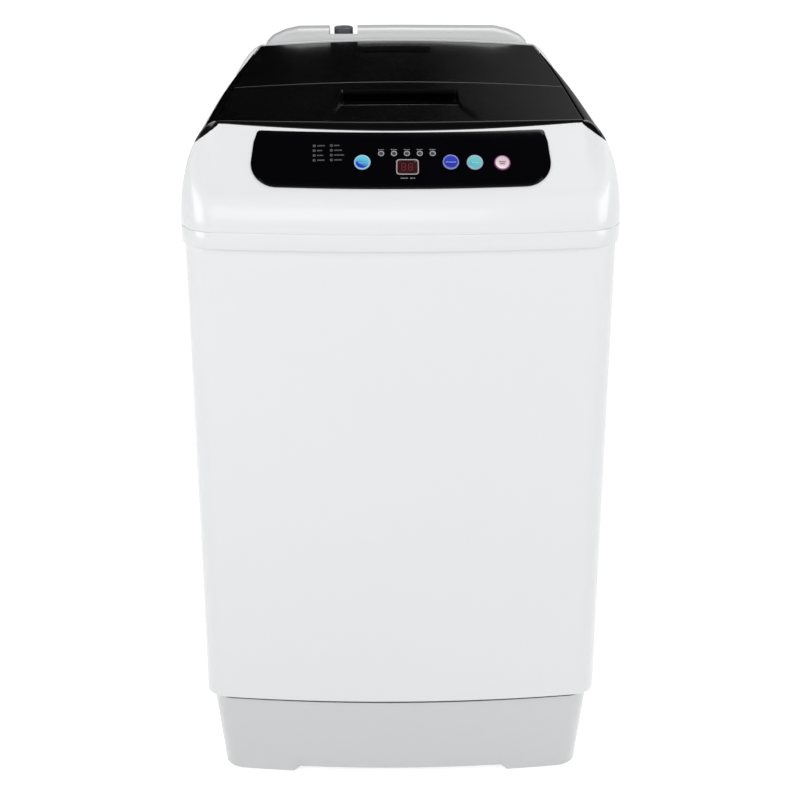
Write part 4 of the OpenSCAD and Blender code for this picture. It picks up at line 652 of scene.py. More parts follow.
def baseOutline(inset, t):
    half = lerp(base["footHalf"], base["topHalf"], t) - inset
    corner = base["corner"] - inset
    x0 = half - corner * (1 - math.sin(math.atan(2 * body["bow"] * (half - corner) / half**2)))
    stops = np.array([base["cutHalf"] + 4, base["cutHalf"] - 4]) / x0
    shares = 1 - np.arange(1, nFront + 1) / nFront
    for stop in stops:
        shares[np.argmin(abs(shares - stop))] = stop
    front = body["cabinetFront"] + base["step"] + base["taper"] * (1 - t) + inset
    back = body["cabinetBack"] - base["backIn"] - base["backTaper"] * (1 - t) - inset
    return halfOutline(half, front, back, corner, base["backCorner"], shares)


def skirtPlastic():
    # duller white than the cover, with painted shade round the top edge: a dark strip for the shadow in the
    # gap under the cabinet
    paint = Paint("skirtPlastic", Metallic=0.0, Coat_Weight=0.2, Coat_Roughness=0.08, Specular_IOR_Level=0.5)
    clouds, fine = paint.noise(160), paint.noise(0.9)
    # painted shade: the top few millimetres are darkened where the cabinet's edge shades the gap
    seamShade = paint.add("MapRange", {}, {"Value": paint.along("Z"), "From Min": 125.3 * mm,
                                       "From Max": 125.9 * mm})
    plastic = paint.blend(clouds, (0.712, 0.715, 0.716), (0.717, 0.718, 0.719))
    return paint.feed({"Base Color": paint.blend(seamShade, plastic, (0.05, 0.05, 0.05)),
                       "Roughness": 0.24 + 0.02 * clouds, "Normal": paint.bump(fine, 0.006)}).material


def makeBase():
    # tapered skirt with a wall, a lip at the top, a cut-out between the front feet and a hole for the drain
    wall, bead, wallTop = base["wall"], base["bead"], body["baseTop"] - base["wall"]
    def row(inset, t, z=None):
        return atHeight(baseOutline(inset, t), lerp(base["low"], body["baseTop"], t) if z is None else z)
    def lifted(points, share):
        inside = (abs(points[:, 0]) < base["cutHalf"]) & (points[:, 1] < 0)
        cutTop = base["low"] + base["cutHigh"] + share
        points[:, 2] = np.where(inside, np.maximum(points[:, 2], cutTop), points[:, 2])
        return points
    rows = [lifted(row(bead, 0), 0), lifted(row(0, 0.006), bead)]
    rows += [lifted(row(0, t), bead) for t in (0.08, 0.2, 0.5, 0.9, 0.985)]
    rows += [row(1.2, 1), row(base["lipWidth"], 1), row(base["lipWidth"], 1, wallTop),
             row(wall, 0.97, wallTop)]
    rows += [lifted(row(wall, t), bead) for t in (0.5, 0.08)] + [lifted(row(wall, 0), 0)]
    shape = Shape().grid(loops(*rows), around=True, through=True)
    skirt = finishPiece("baseSkirtShell", shape, skirtPlastic(), "washer_frame",
                        ["base_skirt"])
    r, (near, far) = base["drainR"], base["drainY"]
    hole = Shape().turned([(0, 0), (r, 0), (r, far - near), (0, far - near)])
    place = np.array([base["drainX"], near, base["drainZ"]])
    hole.points = [p[:, [0, 2, 1]] + place for p in hole.points]
    return carve(skirt, hole)


makeCabinet()
makeBase()
print("stage: cabinet and base made")


# ---------- top cover ----------
# the inlet stands in the rear console's notch, over a hole in the cover
inlet = dict(x=-74, y=245, top=912.3, length=14, radius=13.2, pitch=1.814, depth=0.55, flange=17.4, neck=10.5,
             steps=72)
dome = dict(wall=3.0, groove=1.2, mouthR=184, throatBulge=48, underBulge=32, rebate=2.5, steps=40,
            deckHalf=187.4, deckFront=212, inletHoleR=12.5, keyPlay=2.5, lampSlot=(69, 8), screenIn=-4,
            spout=((-98.3, 171, 804.9), (18.3, 211, 819.7)))
hinge = dict(y=192, z=889.5, holeR=3.06, holeEnds=(178.5, 192.3))


def hingeRod(shape, side, profile, steps):
    # a turned rod laid across the machine at the hinge, its heights counted from the middle
    shape.turned(profile, (0, 0, 0), steps)
    x, y, z = shape.points[-1].reshape(-1, 3).T
    shape.points[-1] = np.c_[side * z, hinge["y"] + y, hinge["z"] + x]
    return shape


def arched(low, high, shares, bulge):
    # outlines between two outlines, lifted in the middle
    return [lerp(low, high, t) + np.array([0, 0, bulge * t * (1 - t)]) for t in shares]


def makeCover():
    # one closed skin: rim, groove, dome, ledge under the lid, throat down to the mouth, back underneath
    wall, groove, mouthR, mouthZ = dome["wall"], dome["groove"], dome["mouthR"], body["mouthZ"]
    rimLow, bandHigh, steps = body["rimLow"], body["bandHigh"], dome["steps"]
    def rimAt(inset, z):
        return atHeight(rim * (1 - inset / body["halfWidth"]), z)
    rows = [rimAt(8, rimLow), rimAt(1.2, rimLow), rimAt(0.4, rimLow + 0.4), rimAt(0, rimLow + 1.4),
            rimAt(0, bandHigh - groove - 0.6), rimAt(0.3, bandHigh - groove),
            rimAt(1.3, bandHigh - groove * 0.9), rimAt(1.3, bandHigh - groove * 0.2), rimAt(0.25, bandHigh)]
    rows += [coverPoint(trimShare * j / steps) for j in range(1, steps + 1)]
    rebate = np.where((station < iTrim)[:, None], edge - np.array([0, 0, dome["rebate"]]),
                      innerPoint(trimShare, dome["rebate"]))
    shelf, mouth = insetEdge(lid["ledge"], ledgeDepth), mouthPoint(mouthR, mouthZ)
    rows += [rebate, edge - np.c_[np.zeros((len(edge), 2)), ledgeDepth], shelf]
    rows += arched(shelf, mouth, np.linspace(0.08, 0.96, 10), dome["throatBulge"])
    rows += [mouth, mouthPoint(mouthR + wall * 0.3, mouthZ - 0.4), mouthPoint(mouthR + wall, mouthZ)]
    under, hem = insetEdge(lid["ledge"] - wall, ledgeDepth + wall), mouthPoint(mouthR + wall, mouthZ)
    rows += arched(hem, under, (0.25, 0.5, 0.75), dome["underBulge"]) + [under]
    rows += [innerPoint(trimShare * s, wall) for s in (0.9, 0.75, 0.6, 0.45, 0.3, 0.15, 0.04)]
    shape = Shape().grid(loops(*rows), around=True, through=True)
    crease = 40
    cover = finishPiece("topCoverShell", shape, whiteShell, "washer_frame", ["top_cover"],
                        crease)
    deckHalf = dome["deckHalf"]
    deck = Shape().block((-deckHalf, dome["deckFront"], body["deckZ"]), (deckHalf, 300, 940), 0.01)
    carve(cover, deck, crease)
    r = dome["inletHoleR"]
    holes = Shape().turned([(0, 760), (r, 760), (r, 880), (0, 880)], (inlet["x"], inlet["y"], 0))
    for x in panel["buttons"]:
        faceHole(holes, circle(x, panel["buttonRow"], panel["buttonR"] + dome["keyPlay"]), 20)
    middle = lensPlaces[len(lensPlaces) // 2]
    faceHole(holes, roundedBox(middle, panel["lensRow"], *dome["lampSlot"], 1), 20)
    faceHole(holes, screenBox(dome["screenIn"], 1), 20)
    carve(cover, holes, crease)
    r, (near, far) = hinge["holeR"], hinge["holeEnds"]
    for side in (-1, 1):
        # the exact solver empties the cover at these two holes
        pin = hingeRod(Shape(), side, [(0, near), (r, near), (r, far), (0, far)], 28)
        carve(cover, pin, crease, "MANIFOLD")
    return carve(cover, Shape().block(*dome["spout"], 0.01), crease)


def makeSurround():
    # gloss band carried from one rear end of the lid's side, round the front, to the other
    skin, end = 2.2, 10
    picked = np.arange(iTrim, len(station))
    t0 = trimShare + 0.004
    deep, foot = innerPoint(t0, skin), edge - np.array([0, 0, end])
    rows = [deep, innerPoint(t0, 0.35), coverPoint(t0 + 0.003)]
    rows += [coverPoint(lerp(t0 + 0.003, 0.985, k / 10)) for k in range(1, 11)]
    rows += [coverPoint(0.997) - (0, 0, 0.1), edge - (0, 0, 0.8), foot, lerp(foot, deep, 0.3)]
    sweep = np.array(rows).transpose(1, 0, 2)[picked]
    sweep = np.concatenate([sweep, sweep[-2::-1] * (-1, 1, 1)])
    finishPiece("lidSurroundBand", Shape().tube(sweep), blackGloss, "washer_frame",
                ["lid_surround"], crease=45)


makeCover()
makeSurround()
print("stage: top cover made")


# ---------- folding lid ----------
recess = dict(x=73, rear=-42, front=-104, sink=17, radius=5, wall=2.2, scoop=1.8, flare=90)
slot = dict(x=-5, y=153, halfX=50, halfY=16.5, sink=7, radius=3, wall=1.2)


def sunk(x, y, midX, midY, halfX, halfY, radius, wall):
    # 0 outside a rounded rectangle and 1 inside it, rising smoothly over the width of a wall
    qx, qy = abs(x - midX) - halfX + radius, abs(y - midY) - halfY + radius
    away = np.hypot(np.maximum(qx, 0), np.maximum(qy, 0)) + np.minimum(np.maximum(qx, qy), 0) - radius
    return smooth(-away / wall)


def lidTop(x, y):
    z = lidZ(x, y)
    mid, halfY = (recess["rear"] + recess["front"]) / 2, (recess["rear"] - recess["front"]) / 2
    frontY = body["edgeY"] + lid["gap"] + bowOf(x)
    # shallow scoop that widens from the recess to the front edge
    t = np.clip((recess["front"] - y) / (recess["front"] - frontY), 0, 1)
    width = lerp(recess["x"], recess["flare"], smooth(t * 1.1))
    side = smooth((width - abs(x)) / 5 + 0.5)
    scoop = recess["scoop"] * side * smooth((recess["front"] + 6 - y) / 8) * (1 - t) ** 0.7
    z = z - scoop * (y < recess["front"] + 6)
    z = z - recess["sink"] * sunk(x, y, 0, mid, recess["x"], halfY, recess["radius"], recess["wall"])
    return z - slot["sink"] * sunk(x, y, slot["x"], slot["y"], slot["halfX"], slot["halfY"],
                                   slot["radius"], slot["wall"])


def bunched(low, high, marks):
    # stations from low to high, closer together beside each mark
    coarse, closest, near = 5.0, 0.25, (0, 0.5, 1, 1.6, 2.3, 3.2, 4.6, 7)
    extra = [m + s * d for m in marks for d in near for s in (-1, 1)]
    values = np.concatenate([np.arange(low, high, coarse), [high], extra])
    values = np.unique(np.round(values[(values >= low) & (values <= high)], 3))
    return values[np.r_[True, np.diff(values) > closest]]


# columns run straight back over a panel's middle and follow the taper outside it; the front's bow dies out
# over bowEnds; the edge is rolled, the rim as thick as the lid and the rest a skin
sheet = dict(middle=110, frontReach=105, bowEnds=62, roll=1.6, rim=9, skin=2.2, least=3.2, liner=2.4)


def makePanel(name, y0, y1, bowed, xMarks, yMarks, stands):
    # height field over the panel's outline, and its underside below it
    inner, roll, skin, liner = sheet["middle"], sheet["roll"], sheet["skin"], sheet["liner"]
    xs = bunched(-inner, inner, xMarks)
    outer = np.array([0.06, 0.2, 0.35, 0.5, 0.65, 0.8, 0.9, 0.955, 0.975, 0.988, 0.996, 1.0])
    ys = bunched(y0, y1, list(yMarks) + [y0, y1])
    cols = np.concatenate([-inner - outer[::-1], xs, inner + outer])
    x, y = np.meshgrid(cols, ys)
    if bowed:
        # the rows follow the bow at the front and straighten towards the recess
        reach = np.where(abs(x) > inner, inner + (abs(x) - inner) * sheet["frontReach"], abs(x))
        y = y + bowOf(reach) * (1 - np.clip((y - y0) / sheet["bowEnds"], 0, 1))
    half = lidHalf(y) - lid["gap"]
    x = np.where(abs(x) > inner, np.sign(x) * (inner + (abs(x) - inner) * (half - inner)), x)
    top, plain = lidTop(x, y), lidZ(x, y)
    frontY = y0 + (bowOf(x) if bowed else 0)
    rimAway = np.minimum(np.minimum(half - abs(x), y - frontY), y1 - y)
    top = top - roll + np.sqrt(np.maximum(roll**2 - (roll - np.clip(rimAway, 0, roll)) ** 2, 0))
    thin = np.minimum(top - skin, plain - sheet["least"])
    bottom = np.where(rimAway < sheet["rim"], plain - lid["thick"], thin)
    deep = sunk(x, y, 0, (recess["rear"] + recess["front"]) / 2, recess["x"] + liner,
                (recess["rear"] - recess["front"]) / 2 + liner, 6, 0.8)
    bottom = np.where(deep > 0.5, np.minimum(bottom, plain - recess["sink"] - skin), bottom)
    upper, lower = np.stack([x, y, top], -1), np.stack([x, y, bottom], -1)
    shape = Shape().grid(upper).grid(lower)
    def border(grid):
        return np.concatenate([grid[0, :-1], grid[:-1, -1], grid[-1, :0:-1], grid[:0:-1, 0]])
    shape.grid(np.array([border(upper), border(lower)]), around=True)
    return finishPiece(name, shape, smokedLidFinish, "lid_front_half" if bowed else "lid_rear_half",
                       stands, crease=50)


smokedLidFinish = smokedLid()
foldGap = 0.4
makePanel("lidFrontPanel", body["edgeY"] + lid["gap"], lid["foldY"] - foldGap, True,
          (-recess["x"], recess["x"]), (recess["rear"], recess["front"]), ["lid_front", "lid_handle_cup"])
makePanel("lidRearPanel", lid["foldY"] + foldGap, lid["rearY"], False,
          (slot["x"] - slot["halfX"], slot["x"] + slot["halfX"]),
          (slot["y"] - slot["halfY"], slot["y"] + slot["halfY"]), ["lid_rear", "lid_slot_insert"])
print("stage: lid made")


# ---------- rear console ----------
console = dict(half=186.5, front=212.8, back=265, foot=850.6, wall=2.5, frontRound=12, backRound=16,
               notch=(-93.5, -54.5), notchZ=906.5, valveZ=884.3, screws=(-150, 150), screwZ=862.3)


def consoleSkin(inset):
    # sections across the width, each from the front foot over the crest to the back foot; both ends round off
    half = console["half"]
    away = np.concatenate([np.linspace(0, 6, 9)[:-1], np.linspace(6, 50, 16)[:-1], np.linspace(50, half, 12)])
    x = np.concatenate([away - half, half - away[-2::-1]])
    away = half - abs(x)
    crest = np.interp(away, [0, 1.5, 6, 14, 30, 50, half],
                      [874, 884, 893.5, 901, 908.5, 913.2, 914.1]) - inset
    draw = 8 * (1 - np.clip(away / 14, 0, 1)) ** 2      # the plan's corners pull in at the ends
    arc = np.radians(np.linspace(0, 90, 9))
    front, back = console["frontRound"] - inset, console["backRound"] - inset
    ys = np.concatenate([
        (console["front"] + inset + draw * 0.6)[:, None],
        (console["front"] + inset + 9 + draw)[:, None] + front * (1 - np.cos(arc)),
        (console["back"] - inset - draw)[:, None] - back * (1 - np.sin(arc)),
        (console["back"] - inset - draw * 0.6)[:, None]], 1)
    zs = np.concatenate([
        np.full((len(x), 1), console["foot"]), crest[:, None] - front * (1 - np.sin(arc)),
        crest[:, None] - back * (1 - np.cos(arc)), np.full((len(x), 1), console["foot"])], 1)
    wide = (x * (1 - inset / half))[:, None]
    return np.stack([np.broadcast_to(wide, ys.shape), ys, zs], -1)


def makeConsole():
    # outer and inner skins, each closed at its ends, joined round the foot
    shape = Shape()
    feet = []
    for skin in (consoleSkin(0), consoleSkin(console["wall"])):
        start, points = shape.count, skin.shape[1]
        shape.grid(skin)
        ends = np.arange(points) + start
        shape.faces += [ends.tolist(), (ends + (len(skin) - 1) * points).tolist()]
        first = start + np.arange(len(skin)) * points
        feet.append(np.concatenate([first, first[::-1] + points - 1]))
    k = np.arange(len(feet[0]))
    after = (k + 1) % len(k)
    shape.faces += np.stack([feet[0][k], feet[0][after], feet[1][after], feet[1][k]], -1).tolist()
    crease = 42
    piece = finishPiece("rearConsoleShell", shape, consoleWhite, "washer_frame",
                        ["rear_console"], crease)
    left, right = console["notch"]
    carve(piece, Shape().block((left, 200, console["notchZ"]), (right, 231, 960), 0.01), crease)
    cuts = Shape().block((left, 230, console["valveZ"]), (right, 300, 960), 0.01)
    for x in console["screws"]:
        cuts.turned([(0, 252), (2.2, 252), (2.2, 262.6), (4.4, 265.2), (4.4, 270), (0, 270)], (0, 0, 0), 32)
        around = cuts.points[-1].reshape(-1, 3)
        cuts.points[-1] = np.c_[around[:, 0] + x, around[:, 2], around[:, 1] + console["screwZ"]]
    return carve(piece, cuts, crease)


def makeHingePins():
    # short dowels between the rear half's corners and the cover's sides
    pins = Shape()
    for side in (-1, 1):
        hingeRod(pins, side, [(0, 179), (2.6, 179), (3.0, 179.4), (3.0, 191.2), (2.6, 191.6), (0, 191.6)], 32)
    finishPiece("hingePins", pins, zincSteel, "lid_rear_half", ["lid_hinge_pins"])


# ---------- water inlet ----------
def makeThread(place):
    # 3/4 inch thread: rounded crests that climb one pitch a turn, on a spigot with a flange and an open mouth
    steps, length, flange, neck = inlet["steps"], inlet["length"], inlet["flange"], inlet["neck"]
    low, deck = inlet["top"] - length, body["deckZ"]
    angle = np.linspace(0, 2 * math.pi, steps, endpoint=False)
    z = np.linspace(0, length, 113)[:, None]
    wave = 0.5 + 0.5 * np.cos(2 * math.pi * (z / inlet["pitch"] - angle / (2 * math.pi)))
    ends = np.clip((z - 0.6) / 0.8, 0, 1) * np.clip((length - 0.8 - z) / 0.8, 0, 1)
    radius = inlet["radius"] - inlet["depth"] * wave * ends - np.clip(z - length + 0.8, 0, 1)
    thread = np.stack([radius * np.cos(angle), radius * np.sin(angle),
                       np.broadcast_to(z + low, radius.shape)], -1)
    def rings(places):
        return [np.stack([r * np.cos(angle), r * np.sin(angle), np.full(steps, height)], -1)
                for r, height in places]
    stem = rings([(neck, deck), (flange - 0.5, deck), (flange, deck + 0.6), (flange, deck + 4.6),
                  (flange - 0.6, deck + 5.2), (neck + 0.8, deck + 5.2), (neck, deck + 6), (neck, low - 0.3)])
    mouth = rings([(11.6, 912.3), (10.2, 912.0), (9.6, 911.2), (9.5, 903), (4, 902.7)])
    finishPiece("inletThread", Shape().tube(np.array(stem + list(thread) + mouth) + place), greyPlastic,
                "washer_frame", ["inlet_valve"], crease=50)


def makeValveBody():
    # housing below the deck, with its coil towards the left and its outlet towards the front
    deck = body["deckZ"]
    coil = [(0, 14.8), (10.4, 14.8), (11, 15.6), (11, 40), (10.2, 41), (5, 41), (5, 40.2), (0, 40.2)]
    outlet = [(0, 11.8), (7, 11.8), (7, 14.6), (7.6, 15.2), (7.6, 16.4), (7, 17), (0, 17)]
    housing = Shape().block((-89, 230, deck - 44), (-59, 252, deck - 0.2), 0.8)
    for profile in (coil, outlet):
        housing.turned(profile, (0, 0, 0), 40)
        x, y, z = housing.points[-1].reshape(-1, 3).T
        across = np.c_[-z, y - 4, x - 30] if profile is coil else np.c_[x, -z, y - 36]
        housing.points[-1] = across + (inlet["x"], inlet["y"], deck)
    finishPiece("inletBody", housing, greyPlastic, "washer_frame", crease=40)


def makeStrainer(place):
    # fine mesh cone in the inlet's mouth
    profile = [(0, 909.5), (1.2, 909.5), (3.0, 905.5), (8.9, 903.6), (9.3, 902.9), (0, 902.9)]
    paint = Paint("strainerMesh", Metallic=0.0, Roughness=0.5)
    # the holes are painted dark: painted shade of the inlet's inside seen through the mesh
    wire, hole = (0.75, 0.78, 0.8), (0.05, 0.1, 0.2)
    paint.feed({"Base Color": paint.add("TexBrick", {"offset": 0.0}, {
        "Vector": paint.place(), "Scale": 900.0, "Color1": hole, "Color2": hole, "Mortar": wire,
        "Mortar Size": 0.1, "Brick Width": 1.0, "Row Height": 1.0})})
    finishPiece("inletStrainer", Shape().turned(profile, place), paint.material, "washer_frame",
                crease=40)


makeConsole()
makeHingePins()
inletPlace = np.array([inlet["x"], inlet["y"], 0])
makeThread(inletPlace)
makeValveBody()
makeStrainer(inletPlace)
print("stage: console and inlet made")


# ---------- control panel ----------
def overlayEdge(x):
    # upper and lower edge of the plate at x: both sag to the middle beside the lid's edge, with small upper
    # corners, sides that lean out and wide round lower corners
    halfX, top, r = panel["width"] / 2, panel["drop"], panel["lowR"]
    low = top + panel["height"]
    away = halfX - abs(x)
    upper = top + np.interp(away, [0, 1, 2.6, 5.2, 6, 7.2, 9, 12], [43, 33, 16, 7.5, 3.6, 1.6, 0.4, 0])
    lower = low - r + np.sqrt(np.clip(r * r - np.clip(r - away, 0, r) ** 2, 0, None))
    sag = panel["sag"] * (x / halfX) ** 2
    return np.minimum(upper, lower) - sag, lower - sag


def makeOverlay():
    # columns across the width, each a closed section of the plate, so that it follows the face's bow
    halfX, edgeRound = panel["width"] / 2, 0.35
    away = np.concatenate([[0, 0.25, 0.6], np.linspace(1, 12, 16), np.linspace(14, panel["lowR"], 8),
                           np.linspace(panel["lowR"] + 4, halfX, 36)])
    x = np.concatenate([away - halfX, halfX - away[-2::-1]])
    upper, lower = overlayEdge(x)
    spots = np.linspace(0, 1, 7)
    inset = np.minimum(edgeRound, (lower - upper) * 0.3)
    drops = [upper, upper, upper + inset * 0.3, *[lerp(upper + inset, lower - inset, s) for s in spots],
             lower - inset * 0.3, lower, lower, *[lerp(lower, upper, s) for s in spots[1:-1]]]
    outs = [panel["low"], panel["high"] - edgeRound, panel["high"] - edgeRound * 0.3, *[panel["high"]] * 7,
            panel["high"] - edgeRound * 0.3, panel["high"] - edgeRound, panel["low"], *[panel["low"]] * 5]
    sections = np.stack([onFace(x, drop, out) for drop, out in zip(drops, outs)], 1)
    shape, count = Shape().grid(sections, around=True), sections.shape[1]
    shape.faces += [list(range(count)), list(range(count * (len(x) - 1), count * len(x)))]
    plate = finishPiece("controlPlate", shape, panelBlack, "washer_frame", ["control_overlay"],
                        crease=30, weld=0.01)
    holes, reach = Shape(), 8
    for x in panel["buttons"]:
        faceHole(holes, circle(x, panel["buttonRow"], panel["buttonR"] + 0.4, 64), reach)
    for x in lensPlaces:
        faceHole(holes, circle(x, panel["lensRow"], panel["lensR"] + 0.1, 32), reach)
    faceHole(holes, screenBox(-6, 1), reach)
    return carve(plate, holes, 30)


def printed(name, colour, strength=0.0):
    # screen print: flat ink with a slight speckle
    paint = Paint(name, Metallic=0.0, Specular_IOR_Level=0.3, Emission_Strength=strength)
    speckle = paint.noise(0.35)
    ink = paint.blend(speckle, shade(colour, 0.85), colour)
    paint.feed({"Base Color": ink, "Roughness": 0.35 + 0.15 * speckle})
    if strength:
        paint.feed({"Emission Color": ink})
    return paint.material


def finishInk(name, shape, ink, ridesOn="washer_frame", stands=()):
    finishPiece(name, shape, ink, ridesOn, stands, crease=30)


# print: where it begins and ends above the face, and the pitch of the strokes in a row
stroke = dict(low=panel["high"] - 0.1, high=panel["high"] + 0.06, pitch=1.45, gap=0.35)
# two columns of marks, with the number of strokes in each mark, row by row
lists = dict(columns=(-101, -81), top=30.0, pitch=6.4, strokes=((6, 4), (4, 6), (5, 8), (6, 6)))


def dashes(shape, x, y, letters, tall):
    # a mark like a small word, told apart by nothing but its length: short strokes in a row
    for k in range(letters):
        wide = stroke["pitch"] - stroke["gap"] - 0.3 * ((k * 7 + letters) % 3 == 0)
        high = tall * (1 if k else 1.25)
        faceStack(shape, roundedBox(x + k * stroke["pitch"], y, wide, high, 0.3, 2),
                  [(stroke["low"], 0), (stroke["high"], 0)])


def makePrints():
    # generic marks only: two columns of rings with strokes, strokes over the lenses and under the screen
    dim, pale = Shape(), Shape()
    for column, x in enumerate(lists["columns"]):
        for row, counts in enumerate(lists["strokes"]):
            y = lists["top"] + lists["pitch"] * row
            ringStrip(dim, circle(x, y, 1.7, 20), circle(x, y, 0.8, 20), stroke["low"], stroke["high"])
            dashes(dim, x + 4.2, y, counts[column], 1.7)
    for x in lensPlaces:
        dashes(pale, x - 2.9, 36.4, 5, 1.1)
    dashes(pale, panel["screenX"] - 7.5, 74.2, 6, 1.4)
    dashes(pale, panel["screenX"] + 3.6, 74.2, 4, 1.4)
    finishInk("listPrint", dim, printed("dimInk", (0.13, 0.13, 0.14)))
    finishInk("panelPrint", pale, printed("paleInk", (0.28, 0.28, 0.29)))


# the seven bars of a numeral: place from its middle, across and down, and whether the bar stands upright
bars = ((0, -4.4, False), (2.2, -2.2, True), (2.2, 2.2, True), (0, 4.4, False), (-2.2, 2.2, True),
        (-2.2, -2.2, True), (0, 0, False))
digits = dict(places=(-4.4, 3.6), thick=0.9, length=3.5)


def makeScreen():
    x, y, h = panel["screenX"], panel["screenRow"], panel["high"]
    frameRing = ringStrip(Shape(), screenBox(0.2, 3.6, 8), screenBox(-2.2, 2.8, 8), h - 0.1, h + 0.35)
    finishInk("screenFrame", frameRing, printed("screenRim", (0.42, 0.38, 0.39)))
    glass = faceStack(Shape(), screenBox(-2.1, 2.8, 8), [(h - 0.05, 0), (h + 0.15, 0), (h + 0.22, -0.15)])
    paint = Paint("screenGlass", Metallic=0.0, Coat_Weight=0.5, Coat_Roughness=0.05, Specular_IOR_Level=0.4)
    cloud = paint.noise(9)
    paint.feed({"Base Color": paint.blend(cloud, (0.022, 0.005, 0.007), (0.045, 0.010, 0.013)),
                "Roughness": 0.15 + 0.1 * cloud})
    finishInk("screenGlass", glass, paint.material, stands=["display_window"])
    segments = Shape()
    for place in digits["places"]:
        for dx, dy, upright in bars:
            size = (digits["thick"], digits["length"])[::1 if upright else -1]
            faceStack(segments, roundedBox(x + place + dx, y + dy, *size, 0.3, 3),
                      [(h + 0.18, 0), (h + 0.26, 0)])
    finishInk("screenDigits", segments, printed("digitRed", (0.16, 0.015, 0.02), 0.15))


def makeLenses():
    domes, rims, y = Shape(), Shape(), panel["lensRow"]
    for x in lensPlaces:
        faceStack(domes, circle(x, y, 2.5, 24),
                  [(-0.9, 0), (0.75, 0), (0.95, -0.3), (1.1, -0.9), (1.15, -1.7)])
        ringStrip(rims, circle(x, y, 3.5, 32), circle(x, y, 2.65, 32), 0.6, 0.80)
    paint = Paint("lensSmoke", Metallic=0.0, Coat_Weight=0.4, Coat_Roughness=0.05)
    cloud = paint.noise(1.5)
    paint.feed({"Base Color": paint.blend(cloud, (0.03, 0.031, 0.034), (0.07, 0.071, 0.075)),
                "Roughness": 0.2 + 0.1 * cloud})
    finishPiece("lensDomes", domes, paint.material, "washer_frame", ["indicator_lenses"],
                crease=40)
    finishInk("lensRims", rims, printed("lensInk", (0.42, 0.42, 0.44)))


keys = [
    # name, cad node, body and slot; the pearl's colours below, above and at its rim;
    # the rows of strokes, each its distance below the key's middle and its number; the strokes' ink
    ("programKey", "program_button", "program_key", "key_teal",
     ((0.01, 0.04, 0.55), (0.13, 0.62, 0.78), (0.40, 0.66, 0.78)), ((1.0, 6),), (0.30, 0.50, 0.80)),
    ("levelKey", "water_level_button", "water_level_key", "key_blue",
     ((0.02, 0.035, 0.42), (0.035, 0.06, 0.52), (0.24, 0.27, 0.60)), ((0.2, 8),), (0.34, 0.40, 0.72)),
    ("processKey", "process_button", "process_key", "key_green",
     ((0.10, 0.50, 0.58), (0.18, 0.62, 0.62), (0.40, 0.44, 0.58)), ((0.4, 5),), (0.40, 0.74, 0.76)),
    ("startKey", "start_button", "start_key", "key_pink",
     ((0.84, 0.76, 0.80), (0.76, 0.60, 0.68), (0.26, 0.05, 0.16)), ((-1.3, 5), (1.5, 4)), (0.30, 0.05, 0.10)),
]
# a key from its skirt up to its dished top: height above the face and growth of its outline
keySteps = [(-6.2, 1.5), (-5.0, 1.5), (-4.9, 0), (1.2, 0), (1.65, -0.18), (1.85, -0.7), (1.78, -1.5),
            (1.55, -2.3), (1.35, -4), (1.2, -6), (1.1, -8)]


def makeKeys():
    y = panel["buttonRow"]
    for (name, node, ridesOn, slotName, colours, rows, inkColour), x in zip(keys, panel["buttons"]):
        cap = faceStack(Shape(), circle(x, y, panel["buttonR"], 64), keySteps)
        pearl = keyPearl(name + "Pearl", onFace(x, y, 0), *colours)
        finishPiece(name, cap, pearl, ridesOn, [node], crease=35)
        marks = Shape()
        for drop, strokes in rows:
            for k in range(strokes):
                dx = (k - (strokes - 1) / 2) * 1.5
                rise = 1.3 + 0.09 * math.hypot(dx, drop)       # follows the dished top
                faceStack(marks, roundedBox(x + dx, y + drop, 1.1, 1.3 + 0.3 * (k == 0), 0.25, 2),
                          [(rise - 0.25, 0), (rise + 0.06, 0)])
        finishInk(name + "Mark", marks, printed(name + "Ink", inkColour), ridesOn)


makeOverlay()
makePrints()
makeScreen()
makeLenses()
makeKeys()
print("stage: controls made")


# ---------- finishes of the frame's own pieces ----------
def stainlessDrum():
    # rolled stainless sheet: fine rings round the drum and slow patches in its polish
    paint = Paint("stainlessDrum", Metallic=1.0)
    rings, patches = paint.noise(1.0, 3.0, (0.02, 0.02, 1.6)), paint.noise(45, 3.0)
    return paint.feed({"Base Color": paint.blend(patches, (0.56, 0.57, 0.58), (0.70, 0.70, 0.70)),
                       "Roughness": 0.20 + 0.14 * patches, "Normal": paint.bump(rings, 0.012)}).material


def circuitGreen():
    # solder mask over copper tracks
    paint = Paint("circuitGreen", Metallic=0.0, Coat_Weight=0.3)
    tracks = paint.add("TexBrick", {}, {
        "Vector": paint.place(), "Scale": 160.0, "Color1": (0.015, 0.12, 0.05), "Color2": (0.02, 0.15, 0.06),
        "Mortar": (0.05, 0.24, 0.10), "Mortar Size": 0.04})
    grain = paint.noise(0.5)
    return paint.feed({"Base Color": tracks, "Roughness": 0.3 + 0.2 * grain,
                       "Normal": paint.bump(grain, 0.01)}).material


finishes = [
    (zincSteel, ["rear_panel", "corner_brackets", "suspension_rods", "suspension_springs", "support_plate",
                 "lid_fold_pins", "spin_shaft", "wash_shaft", "pulsator_screw", "rear_panel_screws",
                 "cover_screws"]),
    (castGrey, ["clutch_housing", "clutch_pulley", "motor_pulley", "run_capacitor"]),
    (motorBlack, ["motor"]),
    (rubberBlack, ["fixed_feet", "adjustable_foot", "motor_mounts", "drive_belt", "drain_bellows",
                   "shaft_seal"]),
    (blackMatte, ["fold_leaves_front", "fold_leaves_rear"]),
    (greyPlastic, ["damper_cups", "drain_outlet"]),
    (palePlastic, ["inlet_box", "level_sensor", "board_spacers", "drain_valve"]),
    (tubPlastic, ["outer_tub", "tub_cover", "basket_base", "balance_ring"]),
    (pearlBlue, ["lint_filter", "pulsator"]),
    (stainlessDrum(), ["basket"]),
    (circuitGreen(), ["control_board"]),
]
for material, nodes in finishes:
    for node in nodes:
        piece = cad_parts[node]
        if not piece.material_slots:
            piece.data.materials.append(material)
        for place in piece.material_slots:
            place.material = material
print("stage: finishes laid on")


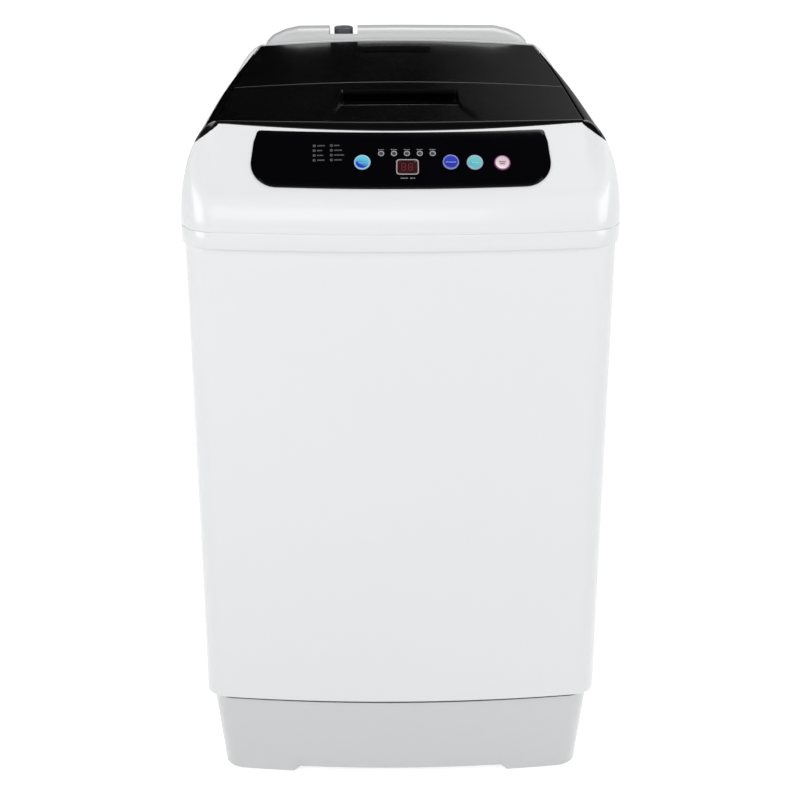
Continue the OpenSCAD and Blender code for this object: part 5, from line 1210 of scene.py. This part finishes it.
# ---------- studio ----------
flags = [
    # name, corner, its two edges, glow at the left and right: dark cards that only mirrors see
    ("rearFlag", (-2.2, 2.3, 0.5), (4.4, 0, 0), (0, 0, 2.6), (0.0, 0.30)),
    ("upperFlag", (-1.7, -2.5, 3.7), (3.4, 0, 0), (0, 3.0, 0), (0.0, 0.0)),
]


def hangFlags():
    for name, corner, across, up, glow in flags:
        corner, across, up = np.array(corner), np.array(across), np.array(up)
        mesh = bpy.data.meshes.new(name)
        mesh.from_pydata([corner, corner + across, corner + across + up, corner + up], [], [(0, 1, 2, 3)])
        card = addObject(name, mesh)
        for ray in ("camera", "diffuse", "shadow", "transmission"):
            setattr(card, "visible_" + ray, False)
        paint = Paint(name, Roughness=1.0, Specular_IOR_Level=0.0, Emission_Strength=1.0)
        share = paint.add("MapRange", {}, {"Value": paint.along("X"), "From Min": 0.1, "From Max": 1.3})
        dim, bright = [(g, g, g) for g in glow]
        paint.feed({"Base Color": (0, 0, 0), "Emission Color": paint.blend(share, dim, bright)})
        mesh.materials.append(paint.material)


def makeStudio():
    # pale floor that keeps the shadow, under a world that is plain white where it is seen or mirrored
    mesh = bpy.data.meshes.new("studioFloor")
    size = 30.0
    corners = [(-size, -size, 0), (size, -size, 0), (size, size, 0), (-size, size, 0)]
    mesh.from_pydata(corners, [], [(0, 1, 2, 3)])
    floor = addObject("studioFloor", mesh)
    paint = Paint("floorPaper", Roughness=0.9, Specular_IOR_Level=0.0, Emission_Strength=1.0)
    seen = paint.add("LightPath", output="Is Camera Ray") + paint.add("LightPath", output="Is Glossy Ray")
    paint.feed({"Base Color": (0.62, 0.62, 0.62),
                "Emission Color": paint.blend(seen, (0.0, 0.0, 0.0), (0.80, 0.80, 0.80))})
    mesh.materials.append(paint.material)
    world = bpy.data.worlds.new("studioWorld")
    world.use_nodes = True
    bpy.context.scene.world = world
    sky = Nodes(world.node_tree)
    camera, glossy, through = [sky.add("LightPath", output="Is " + kind + " Ray")
                               for kind in ("Camera", "Glossy", "Transmission")]
    pale = sky.add("Background", {}, {"Color": (0.95, 0.975, 1), "Strength": 0.38})
    plain = sky.add("Background", {}, {"Color": (1, 1, 1), "Strength": 1.0})
    mixed = sky.add("MixShader", {}, {0: camera + glossy + through, 1: pale, 2: plain})
    sky.plug(sky.tree.nodes.new("ShaderNodeOutputWorld").inputs["Surface"], mixed)


makeStudio()
hangFlags()
hangLamps()
print("stage: studio lit")
